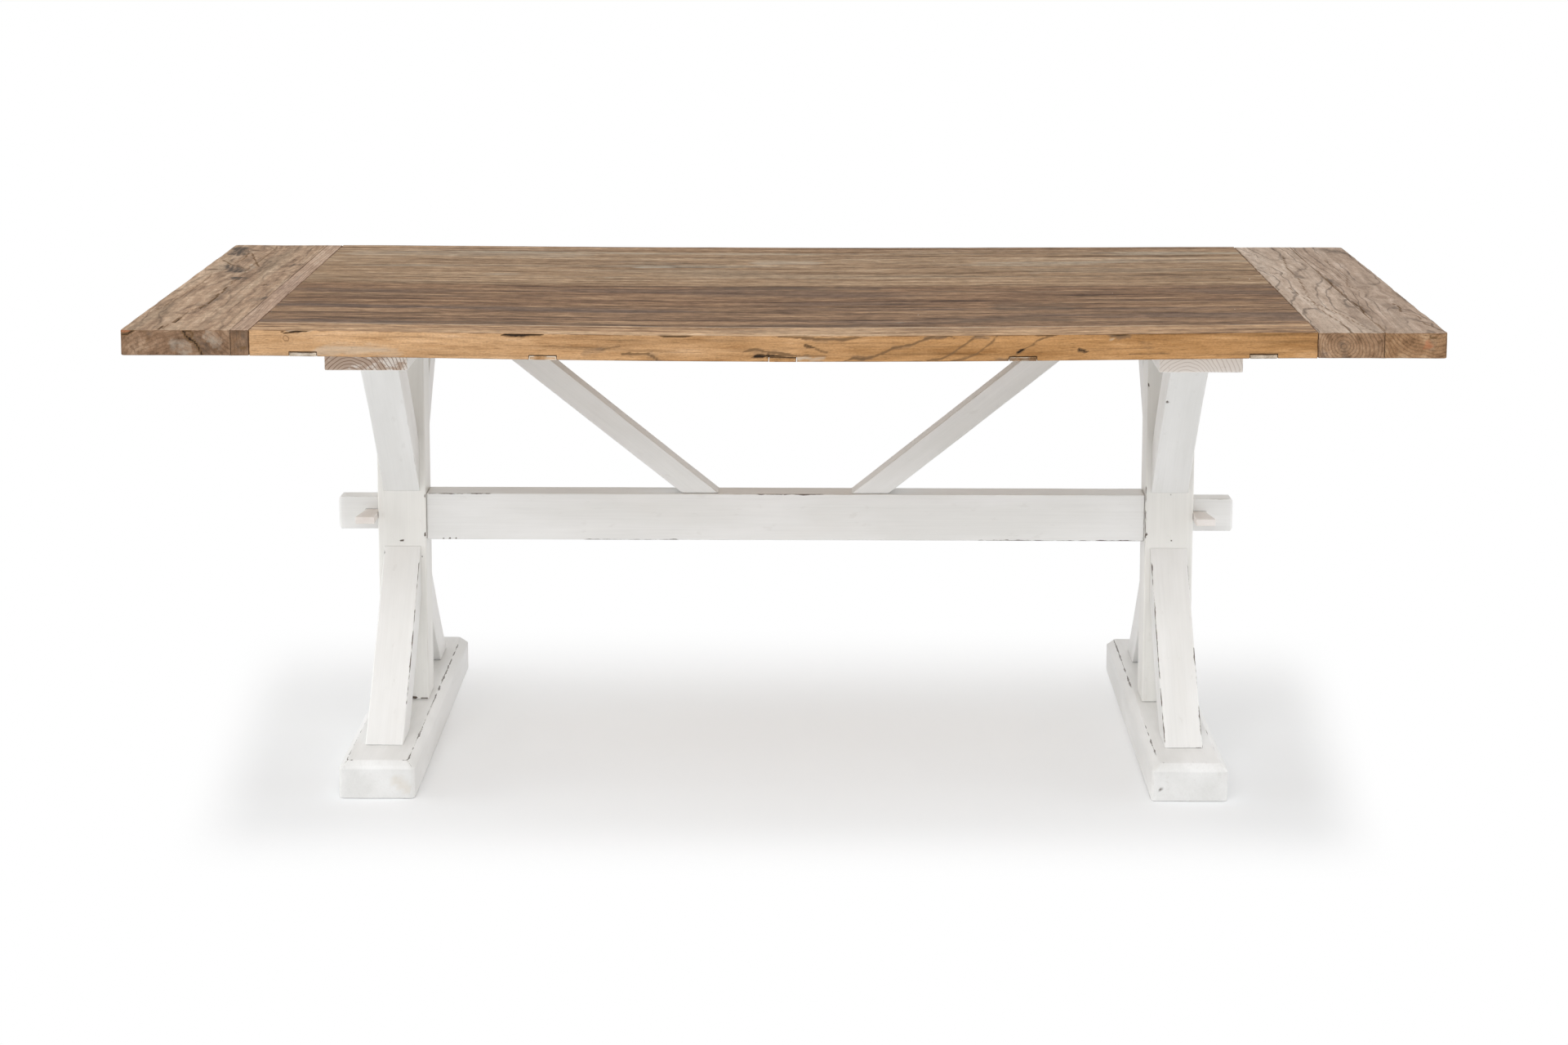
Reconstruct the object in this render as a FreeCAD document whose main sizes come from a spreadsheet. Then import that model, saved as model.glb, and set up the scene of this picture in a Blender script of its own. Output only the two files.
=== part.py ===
"""Sawbuck dining table: a planked top with end boards, carried by two trestles.

Each trestle is a post on a foot, with four leaning arms and a bearer under the top. A stretcher
passes through both posts and is drawn tight by a key on the outside of each. Two braces run from
the stretcher up to the top.

Frame: millimetres, +X along the table, +Z up, -Y is the front. The origin is on the floor, in the
middle between the trestles.
"""
import FreeCAD, Part
import os

import Sketcher
from FreeCAD import Placement, Rotation, Vector

# ---------------------------------------------------------------- driving dimensions

SIZES = [
    # top: six long boards between two pairs of cross planks
    ("table_height", 760),
    ("top_thickness", 40),
    ("field_length", 1610),
    ("board_1_width", 85),
    ("board_2_width", 207),
    ("board_3_width", 221),
    ("board_4_width", 212),
    ("board_5_width", 212),
    ("board_6_width", 63),
    ("left_inner_plank_width", 28),
    ("left_outer_plank_width", 167),
    ("right_inner_plank_width", 100),
    ("right_outer_plank_width", 95),
    ("top_corner_radius", 7),
    # loose splines between the long boards and the cross planks
    ("spline_width", 40),
    ("spline_thickness", 12),
    ("spline_end_margin", 30),
    # flat battens let into the underside of the long boards
    ("batten_width", 41),
    ("batten_thickness", 6),
    ("batten_inset", 81),
    # trestles
    ("trestle_inset", 167),
    ("bearer_width", 128),
    ("bearer_setback", 65),
    ("bearer_thickness", 33),
    ("bearer_bevel", 4),
    ("foot_width", 120),
    ("foot_length", 810),
    ("foot_height", 60),
    ("foot_corner_radius", 8),
    ("foot_bevel", 12),
    ("post_width", 80),
    ("post_depth", 75),
    ("post_arris", 2),
    ("stub_width", 45),
    ("stub_depth", 40),
    ("stub_length", 20),
    # leaning arms
    ("arm_width", 61),
    ("arm_depth", 60),
    ("arm_bow", 5),
    ("upper_arm_setback", 125),
    ("lower_arm_setback", 92),
    ("upper_arm_tip_gap", 6),
    ("lower_arm_tip_gap", 9),
    # stretcher and its keys
    ("stretcher_bottom", 333),
    ("stretcher_height", 79),
    ("stretcher_depth", 55),
    ("tenon_shoulder", 16),
    ("tenon_height", 55),
    ("tenon_thickness", 35),
    ("tenon_projection", 68),
    ("tenon_bevel", 4),
    ("wedge_thickness", 12),
    ("wedge_front_width", 32),
    ("wedge_tail_width", 13),
    ("wedge_front_reach", 63),
    ("wedge_tail_reach", 22),
    ("wedge_draw", 3),
    # braces
    ("brace_depth", 42),
    ("brace_thickness", 46),
    ("brace_heel_place", 172),
    ("brace_head_gap", 19),
    ("brace_nose", 4),
    # screws and nails
    ("screw_radius", 2.5),
    ("screw_head_radius", 4.5),
    ("screw_head_height", 3),
    ("batten_screw_length", 28),
    ("bearer_screw_length", 48),
    ("bearer_screw_offset", 45),
    ("bearer_screw_sink", 10),
    ("head_screw_length", 75),
    ("foot_screw_length", 80),
    ("foot_screw_sink", 25),
    ("arm_screw_inset", 25),
    ("brace_foot_screw_length", 68),
    ("brace_foot_screw_sink", 28),
    ("brace_foot_screw_inset", 25),
    ("brace_head_screw_length", 45),
    ("brace_head_screw_sink", 12),
    ("brace_head_screw_inset", 45),
    ("nail_radius", 1.2),
    ("nail_length", 46),
    ("nail_in_arm", 17),
    ("nail_height", 22),
    ("nail_offset", 15),
    # clearances
    ("fit", 0.2),
    ("hole_clearance", 0.2),
]

doc = FreeCAD.newDocument("SawbuckTable")
sheet = doc.addObject("Spreadsheet::Sheet", "Sizes")
for row, (alias, number) in enumerate(SIZES, start=1):
    sheet.set(f"A{row}", alias)
    sheet.set(f"B{row}", str(number))
    sheet.setAlias(f"B{row}", alias)
doc.recompute()

# ---------------------------------------------------------------- places worked out from them

LONG_BOARDS = 6
BATTEN_STEPS = (-2, -1, 0, 1, 2)
SIDES = {"left": -1, "right": 1}
FACES = {"front": -1, "back": 1}


def total(expressions):
    """Sum of several expressions, as one."""
    return "(" + " + ".join(expressions) + ")"


def slope_length(slope):
    """Length along a line of this slope for each millimetre across."""
    return f"sqrt(1 + ({slope}) ^ 2)"


BOARD_WIDTHS = [f"Sizes.board_{number}_width" for number in range(1, LONG_BOARDS + 1)]
HALF_TOP_WIDTH = f"({total(BOARD_WIDTHS)} / 2)"
FIELD_END = "(Sizes.field_length / 2)"
UNDERSIDE = "(Sizes.table_height - Sizes.top_thickness)"
BATTEN_PITCH = f"(({FIELD_END} - Sizes.batten_inset) / 2)"

TRESTLE = f"({FIELD_END} - Sizes.trestle_inset)"
BEARER_BOTTOM = f"({UNDERSIDE} - Sizes.bearer_thickness)"
BEARER_END = f"({HALF_TOP_WIDTH} - Sizes.bearer_setback)"
POST_FACE = "(Sizes.post_depth / 2)"
POST_INNER = f"({TRESTLE} - Sizes.post_width / 2)"
POST_OUTER = f"({TRESTLE} + Sizes.post_width / 2)"

STRETCHER_TOP = "(Sizes.stretcher_bottom + Sizes.stretcher_height)"
TENON_MIDDLE = "(Sizes.stretcher_bottom + Sizes.tenon_shoulder + Sizes.tenon_height / 2)"
TENON_END = f"({POST_OUTER} + Sizes.tenon_projection)"
TENON_FACE = "(Sizes.tenon_thickness / 2)"

# An arm's outer face runs from its tip on the post to its reach on the bearer or the foot.
ARMS = {
    "upper": {
        "tip": f"({STRETCHER_TOP} + Sizes.upper_arm_tip_gap)",
        "end": BEARER_BOTTOM,
        "reach": f"({BEARER_END} - Sizes.upper_arm_setback)",
        "rise": 1,
    },
    "lower": {
        "tip": "(Sizes.stretcher_bottom - Sizes.lower_arm_tip_gap)",
        "end": "Sizes.foot_height",
        "reach": "(Sizes.foot_length / 2 - Sizes.lower_arm_setback)",
        "rise": -1,
    },
}
for arm in ARMS.values():
    arm["slope"] = f"({arm['rise']} * ({arm['end']} - {arm['tip']}) / ({arm['reach']} - {POST_FACE}))"
    arm["crotch"] = f"({arm['tip']} + {arm['rise']} * Sizes.arm_depth * {slope_length(arm['slope'])})"
    arm["heel"] = f"({arm['reach']} - Sizes.arm_depth * {slope_length('1 / ' + arm['slope'])})"

# A brace's lower edge runs from its heel on the stretcher to its head under the top.
BRACE_HEAD = f"({TRESTLE} - Sizes.bearer_width / 2 - Sizes.brace_head_gap)"
BRACE_SLOPE = f"(({UNDERSIDE} - {STRETCHER_TOP}) / ({BRACE_HEAD} - Sizes.brace_heel_place))"
BRACE_HEIGHT = f"(Sizes.brace_depth * {slope_length(BRACE_SLOPE)})"
BRACE_NOSE_PLACE = f"(Sizes.brace_heel_place - ({BRACE_HEIGHT} - Sizes.brace_nose) / {BRACE_SLOPE})"


def board_front(number):
    """Y of the front edge of a long board; the board after the last one gives the back edge."""
    return f"({total(BOARD_WIDTHS[:number - 1] + ['0'])} - {HALF_TOP_WIDTH})"


def board_middle(number):
    """Y of the middle of a long board."""
    return f"({board_front(number)} + {BOARD_WIDTHS[number - 1]} / 2)"


def batten_place(step):
    """X of the middle of a batten."""
    return f"({step} * {BATTEN_PITCH})"


# ---------------------------------------------------------------- drawing helpers

nodes = []
cuts = []


def value(expression):
    """The number that an expression over the sheet has."""
    result = sheet.evalExpression(expression)
    return float(getattr(result, "Value", result))


def new_body(name):
    return doc.addObject("PartDesign::Body", name)


def new_sketch(body, name, plane, offset="0"):
    """A sketch on one of the body's own planes, moved along the plane's normal."""
    sketch = body.newObject("Sketcher::SketchObject", name)
    support = [item for item in body.Origin.OriginFeatures if item.Role == plane + "_Plane"][0]
    sketch.AttachmentSupport = [(support, "")]
    sketch.MapMode = "FlatFace"
    sketch.setExpression("AttachmentOffset.Base.z", offset)
    return sketch


def fix_point(sketch, geometry, position, place):
    """Holds a point of the sketch at a pair of expressions, measured from the sketch's origin."""
    for kind, expression in zip(("DistanceX", "DistanceY"), place):
        constraint = Sketcher.Constraint(kind, -1, 1, geometry, position, value(expression))
        index = sketch.addConstraint(constraint)
        sketch.setExpression(f"Constraints[{index}]", expression)


def draw_outline(sketch, corners, bows=None):
    """A closed outline. bows gives, for an edge, the point that its arc passes through."""
    bows = bows or {}
    points = [Vector(value(x), value(y), 0) for x, y in corners]
    starts = []
    for index, point in enumerate(points):
        after = points[(index + 1) % len(points)]
        if index in bows:
            middle = Vector(value(bows[index][0]), value(bows[index][1]), 0)
            edge = sketch.addGeometry(Part.Arc(point, middle, after), False)
            marker = sketch.addGeometry(Part.Point(middle), True)
            fix_point(sketch, marker, 1, bows[index])
            sketch.addConstraint(Sketcher.Constraint("PointOnObject", marker, 1, edge))
        else:
            edge = sketch.addGeometry(Part.LineSegment(point, after), False)
        forward = sketch.getPoint(edge, 1).distanceToPoint(point) < sketch.getPoint(edge, 2).distanceToPoint(point)
        starts.append((edge, 1, 2) if forward else (edge, 2, 1))
    for index, (edge, _, end) in enumerate(starts):
        after, start, _ = starts[(index + 1) % len(starts)]
        sketch.addConstraint(Sketcher.Constraint("Coincident", edge, end, after, start))
    for (edge, start, _), corner in zip(starts, corners):
        fix_point(sketch, edge, start, corner)


def draw_rectangle(sketch, low_x, high_x, low_y, high_y):
    corners = [(low_x, low_y), (high_x, low_y), (high_x, high_y), (low_x, high_y)]
    draw_outline(sketch, corners)


def draw_circle(sketch, place, radius):
    centre = Vector(value(place[0]), value(place[1]), 0)
    circle = sketch.addGeometry(Part.Circle(centre, Vector(0, 0, 1), value(radius)), False)
    fix_point(sketch, circle, 3, place)
    index = sketch.addConstraint(Sketcher.Constraint("Radius", circle, value(radius)))
    sketch.setExpression(f"Constraints[{index}]", radius)


def pad(body, sketch, length, symmetric=False, reverse=False):
    feature = body.newObject("PartDesign::Pad", "Pad_" + sketch.Name)
    feature.Profile = sketch
    feature.SideType = "Symmetric" if symmetric else "One side"
    feature.Reversed = reverse
    feature.setExpression("Length", length)
    body.Tip = feature


def pocket(body, sketch, length=None, symmetric=False, reverse=False):
    """A pocket of this length, or through everything; the final check asks that it cuts."""
    before = body.Tip
    feature = body.newObject("PartDesign::Pocket", "Pocket_" + sketch.Name)
    feature.Profile = sketch
    feature.SideType = "Symmetric" if symmetric else "One side"
    feature.Reversed = reverse
    if length is None:
        feature.Type = "ThroughAll"
    else:
        feature.setExpression("Length", length)
    body.Tip = feature
    cuts.append((before, feature))


def dress_edges(body, kind, size, wanted):
    """Rounds or bevels the edges of the body's last feature that wanted picks."""
    doc.recompute()
    base = body.Tip
    names = [f"Edge{index}" for index, edge in enumerate(base.Shape.Edges, start=1) if wanted(edge)]
    feature = body.newObject("PartDesign::" + kind, kind + "_" + base.Name)
    feature.Base = (base, names)
    feature.setExpression("Radius" if kind == "Fillet" else "Size", size)
    body.Tip = feature


def runs_along(edge, axis):
    """Whether an edge is straight and parallel to an axis, given as 0, 1 or 2."""
    ends = [vertex.Point for vertex in edge.Vertexes]
    if len(ends) != 2 or not isinstance(edge.Curve, (Part.Line, Part.LineSegment)):
        return False
    span = ends[1] - ends[0]
    return all(abs(span[other]) < 1e-6 for other in range(3) if other != axis)


def at_height(edge, height):
    return all(abs(vertex.Z - height) < 1e-6 for vertex in edge.Vertexes)


def rises(edge):
    return abs(edge.Vertexes[0].Z - edge.Vertexes[-1].Z) > 1e-6


def finish_node(name, body, holes=(), place=None, turn=0):
    """Places a body, drills it with the shared holes and keeps the result as a named node."""
    if place is not None:
        body.Placement = Placement(Vector(value(place), 0, 0), Rotation(Vector(0, 0, 1), turn))
        body.setExpression("Placement.Base.x", place)
    if not holes:
        body.Label = name
        nodes.append(body)
        return
    body.Label = name + "_blank"
    base = body
    for tool in holes:
        cut = doc.addObject("Part::Cut", f"{name}_without_{tool.Name}")
        cut.Base = base
        cut.Tool = tool
        base = cut
    base.Label = name
    nodes.append(base)


# ---------------------------------------------------------------- fasteners and their holes


def pins(name, plane, sites, start, reverse, radius, length, head_radius=None, head_height=None):
    """Parallel round pins, with or without heads, that start on one plane."""
    body = new_body(name)
    body.AllowCompound = True
    shanks = new_sketch(body, name + "_shanks", plane, start)
    for site in sites:
        draw_circle(shanks, site, radius)
    pad(body, shanks, length, reverse=reverse)
    if head_radius is not None:
        heads = new_sketch(body, name + "_heads", plane, start)
        for site in sites:
            draw_circle(heads, site, head_radius)
        pad(body, heads, head_height, reverse=reverse)
    return body


def screws(name, sites, seat, direction, length, approach):
    """Upright screws whose heads start at a height, and the stepped holes that take them.

    direction is 1 for screws driven upwards and -1 for downwards. The wide part of a hole starts
    the approach before the head, so a sunk head is reached through a counterbore.
    """
    reverse = direction < 0
    body = pins(name, "XY", sites, seat, reverse, "Sizes.screw_radius", length,
                "Sizes.screw_head_radius", "Sizes.screw_head_height")
    finish_node(name, body)
    mouth = f"({seat} - {direction} * {approach})"
    return pins(name + "_holes", "XY", sites, mouth, reverse,
                "Sizes.screw_radius + Sizes.hole_clearance",
                f"{approach} + {length} + Sizes.hole_clearance",
                "Sizes.screw_head_radius + Sizes.hole_clearance",
                f"{approach} + Sizes.screw_head_height")


def nails(name, sites, face):
    """Level nails through the arms of one face into the posts, and their holes."""
    offset = f"({-face} * ({POST_FACE} + Sizes.nail_in_arm))"
    mouth = f"({-face} * ({POST_FACE} + Sizes.nail_in_arm + Sizes.nail_height))"
    reverse = face < 0
    body = pins(name, "XZ", sites, offset, reverse, "Sizes.nail_radius", "Sizes.nail_length")
    finish_node(name, body)
    return pins(name + "_holes", "XZ", sites, mouth, reverse,
                "Sizes.nail_radius + Sizes.hole_clearance / 2",
                "Sizes.nail_height + Sizes.nail_length + Sizes.hole_clearance")


def trestle_sites(places):
    """Sites (x, y) at both trestles, for offsets along X and places along Y."""
    return [(f"({side} * {TRESTLE} + {x})", y) for side in SIDES.values() for x, y in places]


batten_holes = screws(
    "batten_screws",
    [(batten_place(step), board_middle(number)) for step in BATTEN_STEPS for number in range(1, LONG_BOARDS + 1)],
    UNDERSIDE, 1, "Sizes.batten_screw_length", "Sizes.hole_clearance")

bearer_holes = screws(
    "bearer_screws",
    trestle_sites([(f"{row} * Sizes.bearer_screw_offset", board_middle(number))
                   for row in (-1, 1) for number in range(2, LONG_BOARDS)]),
    f"({BEARER_BOTTOM} + Sizes.bearer_screw_sink)", 1,
    "Sizes.bearer_screw_length", "Sizes.bearer_screw_sink")


def arm_screw_places(level):
    """Places along Y of the screws of a trestle: one in the post and one in each arm."""
    inset = f"({ARMS[level]['heel']} + Sizes.arm_screw_inset)"
    return [("0", "0")] + [("0", f"({face} * {inset})") for face in FACES.values()]


head_holes = screws(
    "trestle_head_screws", trestle_sites(arm_screw_places("upper")),
    UNDERSIDE, -1, "Sizes.head_screw_length", "Sizes.hole_clearance")

foot_holes = screws(
    "trestle_foot_screws", trestle_sites(arm_screw_places("lower")),
    "Sizes.foot_screw_sink", 1, "Sizes.foot_screw_length", "Sizes.foot_screw_sink")

brace_foot_holes = screws(
    "brace_foot_screws",
    [(f"({side} * (Sizes.brace_heel_place - Sizes.brace_foot_screw_inset))", "0") for side in SIDES.values()],
    "(Sizes.stretcher_bottom + Sizes.brace_foot_screw_sink)", 1,
    "Sizes.brace_foot_screw_length", "Sizes.brace_foot_screw_sink")

brace_head_holes = screws(
    "brace_head_screws",
    [(f"({side} * ({BRACE_HEAD} - Sizes.brace_head_screw_inset))", "0") for side in SIDES.values()],
    f"({UNDERSIDE} - Sizes.brace_head_screw_inset * {BRACE_SLOPE} + Sizes.brace_head_screw_sink)", 1,
    "Sizes.brace_head_screw_length", "(2 * Sizes.brace_head_screw_sink)")

NAIL_SITES = trestle_sites([
    (f"{row} * Sizes.nail_offset", f"({arm['tip']} + {arm['rise']} * Sizes.nail_height)")
    for row in (-1, 1) for arm in ARMS.values()])
nail_holes = {face: nails(face + "_arm_nails", NAIL_SITES, sign) for face, sign in FACES.items()}


# ---------------------------------------------------------------- top


def groove_for_spline(body, name, ends):
    """The stopped groove for a spline, in each of the ends given by sign."""
    sketch = new_sketch(body, name + "_spline_groove", "XZ")
    middle = f"({UNDERSIDE} + Sizes.top_thickness / 2)"
    for end in ends:
        reach = "(Sizes.spline_width / 2 + Sizes.fit)"
        near = f"({end} * ({FIELD_END} - {reach}))"
        far = f"({end} * ({FIELD_END} + {reach}))"
        half = "(Sizes.spline_thickness / 2 + Sizes.fit)"
        draw_rectangle(sketch, near, far, f"({middle} - {half})", f"({middle} + {half})")
    length = f"2 * ({HALF_TOP_WIDTH} - Sizes.spline_end_margin + Sizes.fit)"
    pocket(body, sketch, length, symmetric=True)


def long_board(number):
    name = f"top_board_{number}"
    body = new_body(name + "_body")
    plan = new_sketch(body, name + "_plan", "XY", UNDERSIDE)
    draw_rectangle(plan, f"-{FIELD_END}", FIELD_END, board_front(number), board_front(number + 1))
    pad(body, plan, "Sizes.top_thickness")
    grooves = new_sketch(body, name + "_batten_grooves", "XY", UNDERSIDE)
    for step in BATTEN_STEPS:
        half = "(Sizes.batten_width / 2 + Sizes.fit)"
        draw_rectangle(grooves, f"({batten_place(step)} - {half})", f"({batten_place(step)} + {half})",
                       board_front(number), board_front(number + 1))
    pocket(body, grooves, "Sizes.batten_thickness", reverse=True)
    groove_for_spline(body, name, (-1, 1))
    finish_node(name, body, [batten_holes, bearer_holes, brace_head_holes])


def cross_plank(name, end, near, far, grooved):
    """One plank across an end of the top, between two distances from the middle."""
    body = new_body(name + "_body")
    plan = new_sketch(body, name + "_plan", "XY", UNDERSIDE)
    draw_rectangle(plan, f"({end} * {near})", f"({end} * {far})", f"-{HALF_TOP_WIDTH}", HALF_TOP_WIDTH)
    pad(body, plan, "Sizes.top_thickness")
    if grooved:
        groove_for_spline(body, name, (end,))
    else:
        outer = value(f"{end} * {far}")
        dress_edges(body, "Fillet", "Sizes.top_corner_radius",
                    lambda edge: runs_along(edge, 2) and abs(edge.Vertexes[0].X - outer) < 1e-6)
    finish_node(name, body)


def end_planks(side):
    """The inner and outer plank of one end."""
    joint = f"({FIELD_END} + Sizes.{side}_inner_plank_width)"
    edge = f"({joint} + Sizes.{side}_outer_plank_width)"
    cross_plank(side + "_inner_plank", SIDES[side], FIELD_END, joint, grooved=True)
    cross_plank(side + "_outer_plank", SIDES[side], joint, edge, grooved=False)


def spline(side):
    """The loose tongue that lines an inner plank up with the long boards."""
    name = side + "_end_spline"
    body = new_body(name + "_body")
    middle = f"({SIDES[side]} * {FIELD_END})"
    reach = f"({HALF_TOP_WIDTH} - Sizes.spline_end_margin)"
    height = f"({UNDERSIDE} + Sizes.top_thickness / 2 - Sizes.spline_thickness / 2)"
    plan = new_sketch(body, name + "_plan", "XY", height)
    draw_rectangle(plan, f"({middle} - Sizes.spline_width / 2)", f"({middle} + Sizes.spline_width / 2)",
                   f"-{reach}", reach)
    pad(body, plan, "Sizes.spline_thickness")
    finish_node(name, body)


def batten(number, step):
    """A flat batten across the long boards, flush in their underside."""
    name = f"cross_batten_{number}"
    body = new_body(name + "_body")
    plan = new_sketch(body, name + "_plan", "XY", UNDERSIDE)
    draw_rectangle(plan, "-Sizes.batten_width / 2", "Sizes.batten_width / 2",
                   f"-{HALF_TOP_WIDTH}", HALF_TOP_WIDTH)
    pad(body, plan, "Sizes.batten_thickness")
    finish_node(name, body, [batten_holes, bearer_holes, brace_head_holes], place=batten_place(step))


# ---------------------------------------------------------------- trestles


def stub_mortise(body, name, height, reverse):
    """The socket for the post's stub tenon, cut from a face at this height."""
    sketch = new_sketch(body, name + "_mortise", "XY", height)
    half_width = "(Sizes.stub_width / 2 + Sizes.fit)"
    half_depth = "(Sizes.stub_depth / 2 + Sizes.fit)"
    draw_rectangle(sketch, f"-{half_width}", half_width, f"-{half_depth}", half_depth)
    pocket(body, sketch, "Sizes.stub_length + Sizes.fit", reverse=reverse)


def bearer(side):
    """The board across the head of a trestle, under the top."""
    name = side + "_bearer"
    body = new_body(name + "_body")
    plan = new_sketch(body, name + "_plan", "XY", BEARER_BOTTOM)
    draw_rectangle(plan, "-Sizes.bearer_width / 2", "Sizes.bearer_width / 2",
                   f"-{BEARER_END}", BEARER_END)
    pad(body, plan, "Sizes.bearer_thickness")
    dress_edges(body, "Chamfer", "Sizes.bearer_bevel", lambda edge: at_height(edge, value(BEARER_BOTTOM)))
    stub_mortise(body, name, BEARER_BOTTOM, reverse=True)
    finish_node(name, body, [bearer_holes, head_holes], place=f"{SIDES[side]} * {TRESTLE}")


def foot(side):
    """The sled on the floor, with its corners rounded and its top edges bevelled."""
    name = side + "_foot"
    body = new_body(name + "_body")
    plan = new_sketch(body, name + "_plan", "XY")
    draw_rectangle(plan, "-Sizes.foot_width / 2", "Sizes.foot_width / 2",
                   "-Sizes.foot_length / 2", "Sizes.foot_length / 2")
    pad(body, plan, "Sizes.foot_height")
    dress_edges(body, "Chamfer", "Sizes.foot_bevel", lambda edge: at_height(edge, value("Sizes.foot_height")))
    dress_edges(body, "Fillet", "Sizes.foot_corner_radius", rises)
    stub_mortise(body, name, "Sizes.foot_height", reverse=False)
    finish_node(name, body, [foot_holes], place=f"{SIDES[side]} * {TRESTLE}")


def post(side):
    """The upright, with a stub tenon at each end and a mortise through it for the stretcher."""
    name = side + "_post"
    body = new_body(name + "_body")
    section = new_sketch(body, name + "_section", "XY", "Sizes.foot_height")
    draw_rectangle(section, "-Sizes.post_width / 2", "Sizes.post_width / 2", f"-{POST_FACE}", POST_FACE)
    pad(body, section, f"{BEARER_BOTTOM} - Sizes.foot_height")
    dress_edges(body, "Chamfer", "Sizes.post_arris", lambda edge: runs_along(edge, 2))
    stubs = new_sketch(body, name + "_stubs", "XY", "Sizes.foot_height - Sizes.stub_length")
    draw_rectangle(stubs, "-Sizes.stub_width / 2", "Sizes.stub_width / 2",
                   "-Sizes.stub_depth / 2", "Sizes.stub_depth / 2")
    pad(body, stubs, f"{BEARER_BOTTOM} - Sizes.foot_height + 2 * Sizes.stub_length")
    mortise = new_sketch(body, name + "_mortise", "YZ")
    half_height = "(Sizes.tenon_height / 2 + Sizes.fit)"
    draw_rectangle(mortise, f"-({TENON_FACE} + Sizes.fit)", f"({TENON_FACE} + Sizes.fit)",
                   f"({TENON_MIDDLE} - {half_height})", f"({TENON_MIDDLE} + {half_height})")
    pocket(body, mortise, symmetric=True)
    holes = [head_holes, foot_holes, nail_holes["front"], nail_holes["back"]]
    finish_node(name, body, holes, place=f"{SIDES[side]} * {TRESTLE}")


def arm_outline(level):
    """Corners of an arm that leans towards -Y, and the points that its two long arcs pass."""
    arm = ARMS[level]
    corners = [
        (f"-{POST_FACE}", arm["tip"]),
        (f"-{POST_FACE}", arm["crotch"]),
        (f"-{arm['heel']}", arm["end"]),
        (f"-{arm['reach']}", arm["end"]),
    ]
    shift_y = f"Sizes.arm_bow * {arm['slope']} / {slope_length(arm['slope'])}"
    shift_z = f"{arm['rise']} * Sizes.arm_bow / {slope_length(arm['slope'])}"

    def bowed(first, second):
        y = f"(({first[0]} + {second[0]}) / 2 + {shift_y})"
        z = f"(({first[1]} + {second[1]}) / 2 + {shift_z})"
        return y, z

    return corners, {1: bowed(corners[1], corners[2]), 3: bowed(corners[3], corners[0])}


def arm_piece(side, face, level):
    """A leaning arm between the post and the bearer or the foot, hollowed a little outside."""
    name = f"{side}_{face}_{level}_arm"
    body = new_body(name + "_body")
    profile = new_sketch(body, name + "_profile", "YZ")
    draw_outline(profile, *arm_outline(level))
    pad(body, profile, "Sizes.arm_width", symmetric=True)
    holes = [head_holes if level == "upper" else foot_holes, nail_holes[face]]
    turn = 0 if face == "front" else 180
    finish_node(name, body, holes, place=f"{SIDES[side]} * {TRESTLE}", turn=turn)


# ---------------------------------------------------------------- stretcher, keys and braces

WEDGE_FRONT = f"(-{TENON_FACE} - Sizes.wedge_front_reach)"
WEDGE_TAIL = f"({TENON_FACE} + Sizes.wedge_tail_reach)"
WEDGE_FLAT = f"({POST_OUTER} + Sizes.fit)"


def stretcher():
    """The long rail, with a tenon through each post and a tapered slot for each key."""
    body = new_body("stretcher_body")
    rail = new_sketch(body, "stretcher_rail", "XZ")
    draw_rectangle(rail, f"-{POST_INNER}", POST_INNER, "Sizes.stretcher_bottom", STRETCHER_TOP)
    pad(body, rail, "Sizes.stretcher_depth", symmetric=True)
    tenons = new_sketch(body, "stretcher_tenons", "XZ")
    draw_rectangle(tenons, f"-{TENON_END}", TENON_END, f"({TENON_MIDDLE} - Sizes.tenon_height / 2)",
                   f"({TENON_MIDDLE} + Sizes.tenon_height / 2)")
    pad(body, tenons, "Sizes.tenon_thickness", symmetric=True)
    tip = value(TENON_END)
    dress_edges(body, "Chamfer", "Sizes.tenon_bevel",
                lambda edge: all(abs(abs(vertex.X) - tip) < 1e-6 for vertex in edge.Vertexes))
    slots = new_sketch(body, "stretcher_slots", "XY", TENON_MIDDLE)
    for end in SIDES.values():
        inner = f"({end} * ({POST_OUTER} - Sizes.wedge_draw))"
        front = f"({end} * ({WEDGE_FLAT} + Sizes.wedge_front_width + Sizes.fit))"
        tail = f"({end} * ({WEDGE_FLAT} + Sizes.wedge_tail_width + Sizes.fit))"
        draw_outline(slots, [(inner, WEDGE_FRONT), (front, WEDGE_FRONT), (tail, WEDGE_TAIL), (inner, WEDGE_TAIL)])
    pocket(body, slots, "Sizes.wedge_thickness + 2 * Sizes.fit", symmetric=True)
    finish_node("stretcher", body, [brace_foot_holes])


def wedge(side):
    """The tapered key that draws the stretcher's shoulder against the post."""
    name = side + "_wedge"
    end = SIDES[side]
    body = new_body(name + "_body")
    plan = new_sketch(body, name + "_plan", "XY", TENON_MIDDLE)
    flat = f"({end} * {WEDGE_FLAT})"
    front = f"({end} * ({WEDGE_FLAT} + Sizes.wedge_front_width))"
    tail = f"({end} * ({WEDGE_FLAT} + Sizes.wedge_tail_width))"
    draw_outline(plan, [(flat, WEDGE_FRONT), (front, WEDGE_FRONT), (tail, WEDGE_TAIL), (flat, WEDGE_TAIL)])
    pad(body, plan, "Sizes.wedge_thickness", symmetric=True)
    finish_node(name, body)


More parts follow.
